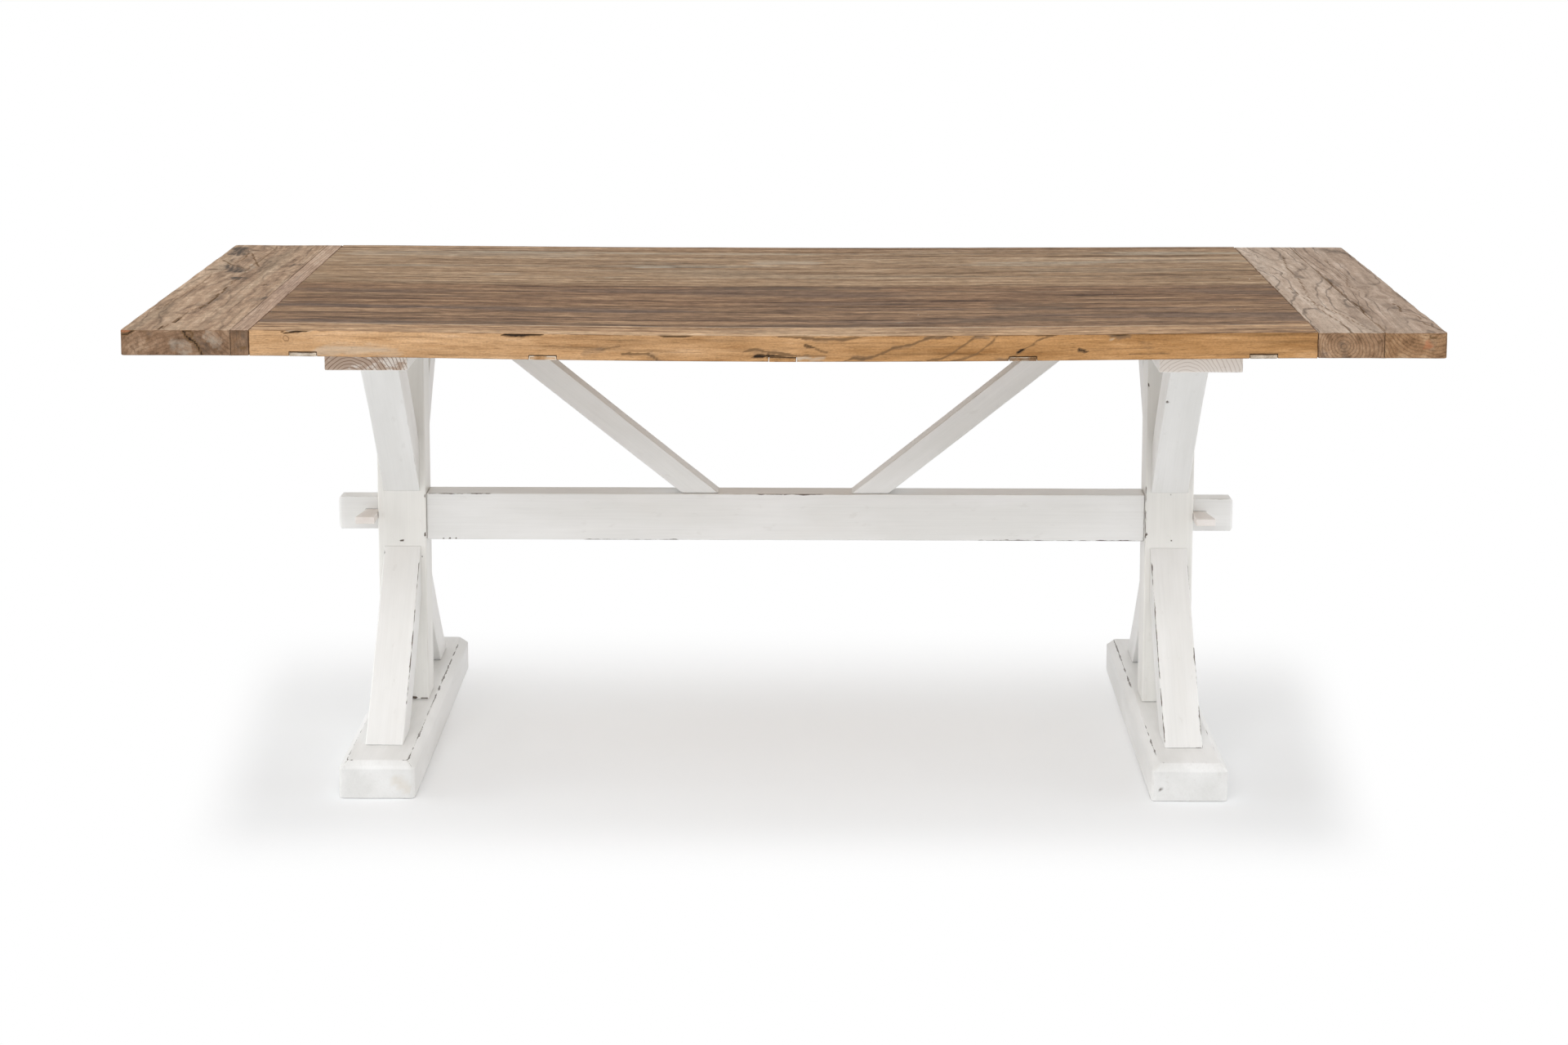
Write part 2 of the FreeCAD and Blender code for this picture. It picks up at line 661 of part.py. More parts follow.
def brace(side):
    """The leaning brace from the stretcher up to the underside of the top."""
    name = side + "_brace"
    end = SIDES[side]
    body = new_body(name + "_body")
    profile = new_sketch(body, name + "_profile", "XZ")
    head_width = f"(Sizes.brace_depth * {slope_length('1 / ' + BRACE_SLOPE)})"
    corners = [
        (f"({end} * {BRACE_NOSE_PLACE})", STRETCHER_TOP),
        (f"({end} * Sizes.brace_heel_place)", STRETCHER_TOP),
        (f"({end} * {BRACE_HEAD})", UNDERSIDE),
        (f"({end} * ({BRACE_HEAD} - {head_width}))", UNDERSIDE),
        (f"({end} * {BRACE_NOSE_PLACE})", f"({STRETCHER_TOP} + Sizes.brace_nose)"),
    ]
    draw_outline(profile, corners)
    pad(body, profile, "Sizes.brace_thickness", symmetric=True)
    finish_node(name, body, [brace_foot_holes, brace_head_holes])


# ---------------------------------------------------------------- the table

for number in range(1, LONG_BOARDS + 1):
    long_board(number)
for number, step in enumerate(BATTEN_STEPS, start=1):
    batten(number, step)
stretcher()
for side in SIDES:
    end_planks(side)
    spline(side)
    bearer(side)
    post(side)
    foot(side)
    for face in FACES:
        for level in ARMS:
            arm_piece(side, face, level)
    brace(side)
    wedge(side)
doc.recompute()

# ---------------------------------------------------------------- checks and export


def check_model():
    """Stops if a feature failed, a pocket cut nothing or a node is not a sound solid."""
    for item in doc.Objects:
        if "Invalid" in item.State or "Error" in item.State:
            raise RuntimeError(f"{item.Label} did not compute: {item.State}")
    for before, feature in cuts:
        if feature.Shape.Volume >= before.Shape.Volume - 1:
            raise RuntimeError(f"{feature.Label} cuts nothing")
    for node in nodes:
        shape = node.Shape
        if shape.isNull() or not shape.isValid() or not shape.Solids:
            raise RuntimeError(f"{node.Label} is not a sound solid")


check_model()
os.makedirs("parts", exist_ok=True)
for node in nodes:
    node.Shape.exportStep(os.path.join("parts", node.Label + ".step"))
    print(f"{node.Label}: {len(node.Shape.Solids)} solid(s), {node.Shape.Volume / 1000:.1f} cm3")
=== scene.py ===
import math
from itertools import product
import bpy
import numpy as np
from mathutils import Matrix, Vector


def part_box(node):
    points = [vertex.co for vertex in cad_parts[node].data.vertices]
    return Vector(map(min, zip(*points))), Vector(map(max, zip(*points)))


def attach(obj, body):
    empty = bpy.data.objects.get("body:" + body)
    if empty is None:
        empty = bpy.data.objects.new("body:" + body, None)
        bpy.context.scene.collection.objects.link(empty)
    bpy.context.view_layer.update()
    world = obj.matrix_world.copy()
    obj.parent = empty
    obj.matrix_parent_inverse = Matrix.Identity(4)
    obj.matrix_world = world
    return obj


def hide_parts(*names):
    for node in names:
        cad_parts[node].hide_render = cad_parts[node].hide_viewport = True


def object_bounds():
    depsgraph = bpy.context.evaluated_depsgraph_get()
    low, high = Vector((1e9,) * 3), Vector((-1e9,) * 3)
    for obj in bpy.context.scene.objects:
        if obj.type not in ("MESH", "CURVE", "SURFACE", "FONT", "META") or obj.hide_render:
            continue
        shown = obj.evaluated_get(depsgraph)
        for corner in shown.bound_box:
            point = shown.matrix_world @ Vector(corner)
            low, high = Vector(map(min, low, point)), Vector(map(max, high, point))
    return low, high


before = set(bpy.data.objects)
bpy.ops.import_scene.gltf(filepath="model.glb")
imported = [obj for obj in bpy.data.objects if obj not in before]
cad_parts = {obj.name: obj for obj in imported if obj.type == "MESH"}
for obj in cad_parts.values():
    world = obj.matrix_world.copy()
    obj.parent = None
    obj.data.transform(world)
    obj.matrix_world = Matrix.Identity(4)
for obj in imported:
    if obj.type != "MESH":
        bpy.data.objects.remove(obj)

cad_low, cad_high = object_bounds()
SIDES = {"left": -1, "right": 1}
FACES = {"front": -1, "back": 1}
LONG_BOARDS = 6
BATTENS = 5

# -------- colours, as they look on screen

CRACK = (50, 39, 31)
VEIN = (114, 88, 62)
KNOT = (84, 60, 42)
STAIN = (92, 81, 72)
PALE = (192, 183, 168)
SPECK = (226, 218, 204)
UNDERSIDE = (188, 170, 149)
RUBBED = (150, 139, 126)
BARE = (82, 68, 57)
SCUFF = (205, 190, 166)
PAINT_SHADE = (232, 232, 230)
PAINT_LIGHT = (240, 240, 239)
PAINT_WARM = (226, 220, 211)
STEEL = (150, 148, 144)
STEEL_LIGHT = (172, 170, 166)
RUST = (112, 84, 64)
ORANGE = (176, 112, 78)

# -------- wear and play, in metres

BOARD_ARRIS = 0.0012
PLANK_ARRIS = 0.0022
PLANK_CORNER = 0.007
PAINT_ARRIS = 0.0020
GROOVE_PLAY = 0.0009
GROOVE_WALL = 0.00012
SAG_FRONT = 0.0072
SAG_BACK = 0.0030
SAG_REACH = 0.78
SNUG_REACH = 0.004
CRACK_DEPTH = 0.0016
VEIN_DEPTH = 0.0004

# -------- how close counts as the same place

TOUCH = 0.0001
WELD = 0.0006

# -------- marks on the wood, in millimetres
#
# Under each side and kind, a mark is a row: its half width, its strength, and its points, as x and
# y in turn on the top, and as x and the depth below the top on the front. A crack or a vein also
# sinks into the surface, and a rub is a stretch of arris where the paint is worn through.

MARKS = {
    "left_outer_plank": {
        "top vein": [(1.6, 0.8, -939, -499, -930, -302, -922, -259),
            (1.8, 0.8, -920, -14, -922, 197, -919, 330, -921, 499),
            (2.2, 0.7, -988, -330, -982, -268, -973, -140, -969, 32, -974, 120),
            (2.6, 0.8, -960, 250, -951, 300, -957, 395), (1.5, 0.5, -880, -330, -893, -290, -889, -235),
            (2.2, 0.9, -990, 300, -962, 238, -930, 190), (1.8, 0.8, -846, -452, -836, -420)],
        "top crack": [(1.9, 0.85, -921, -282, -916, -217, -917, -146, -919, -40),
            (2.4, 0.9, -932, -425, -932, -372), (2.2, 0.9, -943, -495, -942, -450),
            (2.2, 0.8, -868, -16, -858, -4), (1.6, 0.7, -952, 392, -922, 262, -908, 210)],
        "top stain": [(7, 0.8, -917, -270, -911, -150, -914, -20),
            (20, 1.7, -986, 468, -974, 402, -968, 352), (19, 1.7, -960, 232, -944, 172, -934, 140),
            (13, 1.6, -926, 80, -912, 44), (6, 1.2, -868, -20, -852, 0), (9, 1.0, -856, 216, -842, 254),
            (8, 1.1, -846, -190, -834, -150), (11, 0.6, -854, -200, -850, -165)],
        "top knot": [(30, 1.0, -980, 172), (30, 1.0, -951, 428)],
        "top pale": [(4, 1.0, -923, 137, -918, 190, -925, 245)],
        "front crack": [(2.6, 1.0, -905, -1, -900, 9, -895, 15, -889, 17, -883, 24, -879, 33, -876, 41),
            (1.6, 0.8, -902, 2, -894, 2, -889, 6, -893, 12, -897, 14),
            (2.2, 0.9, -1000, 8, -990, 8, -984, 4, -977, -1)],
        "front pale": [(11, 0.5, -926, 22, -906, 26, -894, 34),
            (12, 0.55, -874, 10, -858, 16, -850, 26)],
        "front stain": [(10, 0.8, -889, 8, -880, 20, -872, 30, -868, 41), (6, 0.5, -957, 4, -955, 10)],
        "front rust": [(5, 1.0, -999, 3, -985, 2)],
        "front vein": [(2.6, 0.5, -965, -1, -958, 14, -966, 27, -972, 40)],
    },
    "left_inner_plank": {
        "front stain": [(9, 0.8, -832, 3, -812, 4, -811, 22, -824, 20)],
        "front crack": [(1.6, 0.8, -822, 27, -808, 28)],
        "front knot": [(6, 0.9, -827, 6)],
    },
    "right_inner_plank": {
        "top vein": [
            (1.6, 0.9, 877, 397, 861, 213, 863, 102, 846, -117, 844, -258, 854, -391, 855, -499),
            (1.5, 0.8, 812, -60, 830, -20, 838, -150, 871, -330, 880, -420, 893, -499)],
        "top knot": [(17, 1.0, 835, 154), (13, 0.9, 816, 222), (16, 0.9, 817, 392)],
        "front stain": [(12, 0.9, 806, 38, 816, 36), (5, 0.7, 838, 12, 847, 24, 846, 39),
            (7, 0.8, 842, 16, 850, 24)],
    },
    "right_outer_plank": {
        "top stain": [(12, 1.2, 908, 84, 906, 40, 908, 0), (8, 0.9, 908, -170, 910, -236, 907, -300),
            (7, 0.8, 960, -196, 972, -286), (20, 0.8, 960, 480, 985, 412)],
        "top crack": [(2.2, 0.9, 907, 66, 906, 30), (1.8, 0.9, 906, -76, 908, -104),
            (1.6, 0.9, 908, -170, 911, -240, 907, -300), (1.8, 0.85, 971, -190, 974, -240, 966, -286)],
        "top vein": [(1.5, 0.9, 907, 200, 908, 66, 907, -60, 908, -140),
            (1.5, 0.9, 907, -300, 905, -389, 909, -436, 907, -499),
            (1.8, 0.7, 940, 330, 948, 120, 930, 10, 942, -60),
            (1.8, 0.8, 966, -290, 985, -330, 982, -410, 996, -480)],
        "top knot": [(22, 0.7, 949, -12), (26, 0.8, 962, -125), (13, 0.8, 984, -408)],
        "front rust": [(8, 0.9, 966, 16, 976, 20)],
        "front stain": [(6, 0.5, 980, 10, 974, 26)],
        "front crack": [(1.6, 0.7, 972, 6, 984, 8)],
    },
    "top_board_1": {
        "front crack": [(1.8, 0.9, -757, 2, -750, 4.5, -730, 2, -713, 0),
            (2.6, 1.0, -422, 3, -414, 2.2, -393, 2.8, -375, 1.4, -360, 0.4),
            (1.9, 0.8, -184, 0.6, -168, 1.6, -153, 1.8, -134, 0.8),
            (3.0, 1.0, -46, 33, -23, 30.5, -2, 33.5, 20, 39), (2.8, 0.85, 32, 13, 39, 15.7, 47, 18),
            (2.8, 1.0, 354, 28, 364, 22), (1.6, 0.8, 380, 0.8, 396, 0.8, 411, 1.6),
            (3.0, 0.9, 444, 23, 457, 26), (2.4, 0.8, 494, 0.5, 507, 1.5, 520, 0.5)],
        # the first pale row is a painted highlight on the lip of the split along the top arris
        "front pale": [(3, 0.9, -748, 0.5, -712, 0.5),
            (11, 0.55, -712, 38, -670, 26, -634, 28, -575, 35),
            (3, 1.0, 12, 38, 32, 33, 44, 36, 66, 34), (2, 0.9, 494, 8, 500, 6)],
        "front knot": [(12, 0.5, -748, 14), (5, 0.9, -247, 17)],
        "front vein": [(2.2, 0.35, -650, 27, -644, 14, -636, 6),
            (2.0, 0.35, -642, 27, -636, 16, -630, 9), (2.0, 0.4, -438, 16, -422, 13, -404, 10, -378, 4),
            (2.2, 0.6, -276, 24, -261, 20, -246, 17),
            (2.6, 0.9, -246, 30, -221, 28.5, -202, 28, -195, 33, -186, 41),
            (2.4, 0.9, -58, 25, -42, 21, -23, 24.5, -5, 26, 20, 31),
            (2.6, 0.85, -8, 1.4, 26, 2.8, 44, 4.2, 88, 5.8, 118, 2.2),
            (3.0, 0.8, 47, 18, 59, 23.4, 70, 25), (1.6, 0.8, -8, 29, 30, 30.5, 66, 31),
            (2.4, 0.85, 92, 37, 118, 35, 131, 33.7, 143, 29, 168, 19, 180, 15.5, 198, 12,
             211, 7, 223, 3, 232, 0), (1.6, 0.8, 238, 2, 252, 0.5, 262, 6),
            (2.2, 0.8, 216, 39, 242, 34, 255, 27, 266, 19, 279, 10, 290, 2),
            (2.2, 0.75, 252, 39, 272, 35, 291, 29, 303, 21, 313, 12, 323, 1),
            (2.2, 0.7, 336, 41, 348, 33, 359, 26),
            (1.8, 0.8, 362, 23, 370, 19, 377, 16, 382, 9.5, 392, 4.7, 411, 1.5),
            (1.5, 0.55, 456, 25.6, 488, 23.5, 528, 22.7, 560, 23),
            (1.5, 0.7, 522, 31, 550, 31.3, 584, 30), (1.5, 0.5, 599, 35, 661, 33.4, 749, 33.5)],
        "front stain": [(6, 0.75, -301, 29, -288, 27, -270, 22), (6, 0.7, -204, 28, -194, 35, -186, 41),
            (6, 0.6, -46, 24, -10, 27, 14, 33), (4, 0.7, 30, 3, 60, 6, 96, 5),
            (4, 0.9, 104, 36, 136, 33), (4, 0.6, 166, 20, 198, 12), (4, 1.0, 212, 4, 232, 2, 248, 1),
            (4, 0.9, 286, 3, 298, 4, 312, 6), (3, 0.9, 322, 38, 356, 38),
            (5, 1.0, 492, 1, 507, 3, 521, 1), (7, 0.4, 540, 16, 556, 19)],
        "top vein": [(5, 0.8, -240, -430, -150, -424, -30, -428),
            (5, 0.7, 130, -470, 240, -462, 330, -470), (4, 0.6, -600, -455, -480, -450)],
        "top pale": [(4, 0.7, -800, -418, -200, -419, 300, -418, 800, -419)],
    },
    "top_board_2": {
        "top stain": [(15, 0.9, -640, -408, -527, -398, -400, -396, -308, -398, -210, -406),
            (12, 0.7, -100, -400, 30, -398, 150, -404),
            (22, 0.8, 250, -372, 300, -352, 380, -346, 457, -356),
            (30, 0.9, 330, -228, 390, -226, 460, -230)],
        "top pale": [(5, 1.0, 180, -366)],
    },
    "top_board_3": {
        "top stain": [(7, 1.0, -290, 6, -150, 6, 60, 5, 170, 6),
            (19, 1.0, -110, -10, -20, -14, 80, -13, 164, -10), (9, 0.8, 215, -42, 380, -52, 560, -58),
            (18, 0.8, 330, -196, 400, -190, 470, -196), (14, 0.6, 480, -150, 680, -170, 780, -160),
            (11, 0.6, -600, -120, -430, -112, -330, -116)],
    },
    "top_board_4": {
        "top crack": [(3.2, 0.9, 716, 92, 752, 84, 803, 82)],
        "top stain": [(10, 0.6, 640, 110, 740, 88, 800, 84)],
        "top pale": [(7, 0.8, -514, 140, -450, 142), (7, 0.9, 414, 168, 440, 167), (5, 1.0, -300, 103)],
    },
    "top_board_5": {
        "top pale": [(34, 0.45, -790, 388, -560, 396, -339, 392),
            (14, 0.5, -330, 412, -180, 414, -40, 410), (28, 0.6, -60, 296, 0, 300, 60, 296),
            (9, 1.0, -260, 234, -195, 236), (12, 0.6, 330, 300, 430, 296), (5, 1.0, -286, 306)],
        "top stain": [(8, 1.0, -20, 414, 300, 416, 604, 412), (6, 0.9, -618, 434, -300, 435, 8, 434),
            (12, 0.6, 560, 330, 680, 322, 790, 330)],
    },
    "top_board_6": {
        "top vein": [(4, 0.8, -420, 444, -100, 447, 250, 444, 700, 446)],
        "top pale": [(5, 1.0, 222, 471)],
    },
    "left_post": {
        "front crack": [(3.0, 1.0, -599, 352), (2.0, 0.9, -600, 414, -600, 420),
            (2.2, 0.8, -641, 427, -635, 426), (1.6, 0.7, -606, 455),
            (2.6, 1.0, -629, 696.5, -619, 696.5), (1.6, 0.8, -613, 697.5, -600, 697.5)],
    },
    "right_post": {
        "front crack": [(3.0, 0.9, 600, 157, 600, 163), (3.0, 1.0, 600, 414), (1.8, 0.8, 642, 424),
            (1.6, 0.6, 640, 346)],
        "front rub": [(6, 1.0, 599, 342, 599, 414)],
    },
    "left_front_lower_arm": {
        "front rub": [(7, 1.0, -609, 466, -609, 498), (9, 1.0, -609, 530, -609, 600),
            (7, 1.0, -609, 612, -609, 640)],
        "front crack": [(3.0, 0.7, -668, 447)],
    },
    "right_front_lower_arm": {
        "front rub": [(7, 0.8, 609, 441, 609, 526), (10, 1.0, 609, 520, 609, 556),
            (7, 1.0, 609, 570, 609, 606), (9, 1.0, 610, 636, 610, 682), (7, 0.9, 667, 435, 667, 492),
            (8, 1.0, 667, 580, 667, 616), (8, 1.0, 667, 655, 667, 700)],
    },
    "right_front_upper_arm": {
        "front crack": [(3.0, 0.9, 612, 158)],
    },
    "left_foot": {
        "top rub": [(9, 1.0, -590, -395, -590, -80, -590, 330), (9, 0.9, -686, -395, -686, -190)],
        "front rub": [(6, 0.7, -690, 712, -640, 712, -590, 712)],
        "front stain": [(9, 0.5, -612, 728, -596, 738, -586, 748)],
    },
    "right_foot": {
        "top rub": [(10, 1.0, 590, -385, 590, -190), (8, 0.8, 590, 60, 590, 390),
            (10, 1.0, 686, -385, 686, -215)],
        "front crack": [(3.0, 0.7, 592, 742)],
    },
    "stretcher": {
        "front crack": [(2.2, 1.0, -571, 425), (2.0, 1.0, -562, 425, -559, 425), (1.8, 0.9, -549, 425)],
        "front rub": [(6, 0.8, -590, 348, -500, 348), (6, 0.7, -40, 348, 60, 348),
            (6, 0.7, -330, 426, -180, 426), (6, 0.8, 330, 426, 590, 426)],
    },
}

# -------- numbers on lattices

LATTICE = 32
LATTICE_MIDDLE = 2 * LATTICE + 0.5


def noise(points, scale, seed):
    """Smooth noise from 0 to 1 at each point, with features about 1 / scale across."""
    table = np.random.RandomState(seed).rand(LATTICE, LATTICE, LATTICE)
    place = points * np.asarray(scale, float) + LATTICE_MIDDLE
    cell = np.floor(place).astype(int)
    part = place - cell
    part = part * part * (3 - 2 * part)
    total = np.zeros(len(points))
    for corner in np.ndindex(2, 2, 2):
        weight = np.where(np.array(corner) == 1, part, 1 - part).prod(axis=1)
        total += weight * table[tuple(((cell + corner) % LATTICE).T)]
    return total


def stations(length, step, edge, extra=()):
    """Places along one side of a block: close together at its ends, evenly spaced between."""
    near = np.array([0, 0.25, 0.5, 0.75, 1.0, 1.7]) * edge
    count = max(1, int(round((length - 2 * near[-1]) / step)))
    middle = np.linspace(near[-1], length - near[-1], count + 1)
    extra = np.asarray(extra, float)
    clear = [value for value in middle if not len(extra) or np.abs(extra - value).min() > WELD]
    return np.unique(np.round(np.concatenate([near, clear, length - near, extra]), 5))


def shell(us, vs, ws):
    """The corners and the outward quads of a block's surface."""
    grid = np.stack(np.meshgrid(us, vs, ws, indexing="ij"), -1)
    outer = np.zeros(grid.shape[:3], bool)
    for axis in range(3):
        for side in (0, -1):
            np.moveaxis(outer, axis, 0)[side] = True
    number = np.full(outer.shape, -1)
    number[outer] = np.arange(outer.sum())
    quads = []
    for axis in range(3):
        for side in (0, -1):
            sheet = np.take(number, side, axis)
            quad = np.stack([sheet[:-1, :-1], sheet[1:, :-1], sheet[1:, 1:], sheet[:-1, 1:]], -1)
            quad = quad.reshape(-1, 4)
            quads.append(quad[:, ::-1] if (side == -1) == (axis == 1) else quad)
    return grid[outer], np.concatenate(quads)


def soften(points, size, arris, chips, relief, seed, sharp=0.0, snug=None):
    """Rounds a block's arrises unevenly and gives its faces a little relief, only inwards.

    Over the length sharp from its beginning, and at the side snug, an axis and an end, the block
    stays sharp and isn't worn. Returns the new places and each corner's distance from the nearest
    arris before that.
    """
    away = np.minimum(points, size - points)
    bite = np.clip((noise(points, 17, seed) - 0.66) / 0.34, 0, 1) * noise(points, 130, seed + 1)
    radius = arris * (0.55 + 0.9 * noise(points, 38, seed + 2)) + chips * bite
    if snug:
        axis, end = snug
        here, there = points[:, axis], size[axis] - points[:, axis]
        if end:
            here, there = there, here
        away[:, axis] = there
        radius *= np.clip(here / SNUG_REACH, 0.12, 1)
    gap = np.sort(away, axis=1)[:, 1]
    if sharp:
        blunt = np.clip(points[:, 0] / sharp, 0, 1)
        radius *= blunt
        gap += (1 - blunt) * 0.01
    radius = np.minimum(radius, size.min() * 0.45)[:, None]
    half = size / 2
    centred = points - half
    core = np.clip(centred, radius - half, half - radius)
    out = centred - core
    out /= np.maximum(np.linalg.norm(out, axis=1), 1e-9)[:, None]
    waves = 0.6 * noise(points, (5, 16, 16), seed + 3) + 0.4 * noise(points, (14, 60, 60), seed + 4)
    return core + out * radius + half - out * (relief * waves)[:, None], gap


# -------- pieces


def corners_of(node):
    """The corners of a CAD node's mesh."""
    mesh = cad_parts[node].data
    found = np.empty(len(mesh.vertices) * 3)
    mesh.vertices.foreach_get("co", found)
    return found.reshape(-1, 3)


def write(mesh, name, kind, field, values):
    """Keeps a value for each of a mesh's corners, for its material."""
    layer = mesh.attributes.new(name, kind, "POINT")
    layer.data.foreach_set(field, np.asarray(values, np.float32).ravel())


def linked(name, data):
    """A new object in the scene."""
    made = bpy.data.objects.new(name, data)
    bpy.context.scene.collection.objects.link(made)
    return made


def marks_of(node):
    """Each mark of a node: its kind, side, points, half width and strength."""
    for heading, rows in MARKS.get(node, {}).items():
        side, kind = heading.split()
        for half_width, strength, *spots in rows:
            yield kind, side, np.reshape(spots, (-1, 2)), half_width, strength


def nearest(places, line):
    """How far each place is from a line of straight runs, and how far along it, from 0 to 1."""
    line = np.asarray(line, float)
    if len(line) == 1:
        return np.linalg.norm(places - line[0], axis=1), np.full(len(places), 0.5)
    runs = np.linalg.norm(np.diff(line, axis=0), axis=1)
    starts = np.concatenate([[0], np.cumsum(runs)])
    best = np.full(len(places), 1e9)
    along = np.zeros(len(places))
    for start, end, run, before in zip(line[:-1], line[1:], runs, starts):
        share = np.clip((places - start) @ (end - start) / run ** 2, 0, 1)
        distance = np.linalg.norm(places - start - share[:, None] * (end - start), axis=1)
        closer = distance < best
        best[closer] = distance[closer]
        along[closer] = ((before + share * run) / starts[-1])[closer]
    return best, along


def engrave(mesh, places, rested, grain, node, seed):
    """Sinks a node's cracks and veins into a mesh and notes its marks, for the material.

    The marks are laid out on the rested places, before any sag. Returns per corner the crack, which
    is weaker for a vein, the knot, the stain, which is negative where pale, and the accent, which is
    rust on wood and worn paint on the base.
    """
    normals = np.empty(len(places) * 3)
    mesh.vertex_normals.foreach_get("vector", normals)
    normals = normals.reshape(-1, 3)
    noted = np.zeros((len(places), 4))
    wobble = np.stack([noise(rested, 70, seed + 5), noise(rested, 70, seed + 6)], 1) - 0.5
    ragged = noise(rested, 210, seed + 7)
    for kind, side, points, half_width, strength in marks_of(node):
        flat = np.stack([rested[:, 0], rested[:, 1] if side == "top" else cad_high[2] - rested[:, 2]], 1)
        seen = normals[:, 2] > 0.35 if side == "top" else normals[:, 1] < -0.35
        flat = flat * 1000 + wobble * min(half_width * 1.6, 7)
        distance, along = nearest(flat, points)
        if kind == "knot":
            field = np.clip(1 - distance / half_width, 0, 1) * strength * seen
            noted[:, 1] = np.maximum(noted[:, 1], field)
            push = np.clip(1 - distance / (half_width * 2.6), 0, 1) ** 2 * half_width * 0.0006 * seen
            across = grain[:, 1] - grain[np.argmin(distance), 1]
            grain[:, 1] -= push * np.tanh(across * 1000 / half_width * 2)
            continue
        if kind == "rub":
            near = np.clip(1.3 - distance / half_width, 0, 1) * (normals[:, 1] < 0.5)
            noted[:, 3] = np.maximum(noted[:, 3], near * strength)
            continue
        taper = np.clip(np.minimum(along, 1 - along) * 9 + 0.35, 0, 1) if len(points) > 1 else 1
        reach = half_width * taper * (0.55 + 0.9 * ragged)
        field = np.clip(1 - (distance / reach) ** 2, 0, 1) * seen
        if kind in ("crack", "vein"):
            shown, deep = (1.0, CRACK_DEPTH) if kind == "crack" else (0.55, VEIN_DEPTH)
            noted[:, 0] = np.maximum(noted[:, 0], np.sqrt(field) * strength * shown)
            places -= normals * (field * deep * strength)[:, None]
        elif kind == "rust":
            noted[:, 3] = np.maximum(noted[:, 3], field * strength)
        else:
            soft = np.sqrt(field) * strength * (1 if kind == "stain" else -1)
            noted[:, 2] = np.where(np.abs(soft) > np.abs(noted[:, 2]), soft, noted[:, 2])
    return noted


def solid(name, size, place, material, steps, edge=(0.003, 0.004, 0.004),
          node=None, body="table", arris=PAINT_ARRIS, chips=0.0, relief=0.0003,
          extra=((), (), ()), bend=None, settle=None, seed=1, start=0.0, sharp=0.0, snug=None):
    """A block of wood with worn arrises, put in place by a function, as one piece of the table.

    Along each of its own axes its corners are a step apart, closer over the edge at both ends, and
    also at the extra places. It stands for the node of its own name if no other is given. Its grain
    begins at start.
    """
    node = node or name
    size = np.asarray(size, float)
    lines = [stations(size[axis], steps[axis], edge[axis], extra[axis]) for axis in range(3)]
    local, quads = shell(*lines)
    places, gap = soften(local, size, arris, chips, relief, seed, sharp, snug)
    if bend:
        places, local = bend(places), bend(local)
    rested = place(places)
    places = settle(rested) if settle else rested.copy()
    a, b, c, d = (places[quads[:, i]] for i in range(4))
    if np.einsum("ij,ij->", a, np.cross(b, c) + np.cross(c, d)) < 0:
        quads = quads[:, ::-1]
    mesh = bpy.data.meshes.new(name)
    mesh.from_pydata(places.tolist(), [], quads.tolist())
    mesh.polygons.foreach_set("use_smooth", np.ones(len(quads), bool))
    grain = local + np.array([start, 0, 0])
    noted = engrave(mesh, places, rested, grain, node, seed)
    mesh.vertices.foreach_set("co", places.ravel())
    write(mesh, "grain", "FLOAT_VECTOR", "vector", grain)
    write(mesh, "marks", "FLOAT_VECTOR", "vector", noted[:, :3])
    write(mesh, "accent", "FLOAT", "value", noted[:, 3])
    write(mesh, "worn", "FLOAT", "value", gap)
    mesh.update()
    mesh.materials.append(material)
    piece = linked(name, mesh)
    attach(piece, body)
    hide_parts(node)
    return piece


def beside(places, length):
    """Stations for small marks: at each place along a side, and close to it on both sides."""
    near = [place + step * 0.0013 for place in places for step in range(-2, 3)]
    return tuple(place for place in near if 0.0005 < place < length - 0.0005)


def small_marks(node):
    """Where a painted node's small cracks lie, in X and in Z."""
    spots = [spot / 1000 for kind, _, points, _, _ in marks_of(node) if kind == "crack"
             for spot in points]
    return [x for x, _ in spots], [cad_high[2] - depth for _, depth in spots]


def laid(node, order):
    """The size and the place of a block that fills a node's box.

    Its own axes lie along these of the frame.
    """
    order = list(order)
    low, high = (np.array(corner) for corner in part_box(node))

    def place(points):
        put = np.empty_like(points)
        put[:, order] = low[order] + points
        return put

    return (high - low)[order], place


def rounded(points, size, corner, way=0):
    """Rounds a block's four upright corners, or only the two that lie that way along its width."""
    moved = points.copy()
    half = size / 2
    reach = np.maximum(np.abs(points - half) - (half - corner), 0)[:, :2]
    if way:
        reach[(points[:, 1] - half[1]) * way < 0] = 0
    both = reach.min(axis=1) > 0
    share = reach[both].max(axis=1) / np.hypot(*reach[both].T)
    for axis in (0, 1):
        side = np.sign(points[both, axis] - half[axis])
        moved[both, axis] = half[axis] + side * (half[axis] - corner + reach[both, axis] * share)
    return moved


def drawn_in(points, size, axes, inset):
    """Moves a block's corners in by their insets, from both sides along these axes."""
    moved = points.copy()
    for axis in axes:
        half = size[axis] / 2
        moved[:, axis] = half + (points[:, axis] - half) * (1 - inset / half)
    return moved


def beam(first, second, end):
    """A leaning beam between two lines: its length, its depth at one end and the way across it."""
    run = first[1] - first[0]
    length = np.linalg.norm(run)
    lean = np.array([-run[1], run[0]]) / length
    depth = (second[end] - first[end]) @ lean
    return length, abs(depth), lean * np.sign(depth)


def leaning(points, size, first, second, bow=0.0):
    """The corners of a beam between two lines, as places in their plane, with its middle bowed."""
    along = (points[:, 0] / size[0])[:, None]
    share = (points[:, 1] / size[1])[:, None]
    near = first[0] + (first[1] - first[0]) * along
    far = second[0] + (second[1] - second[0]) * along
    return near + (far - near) * share + bow * 4 * along * (1 - along)


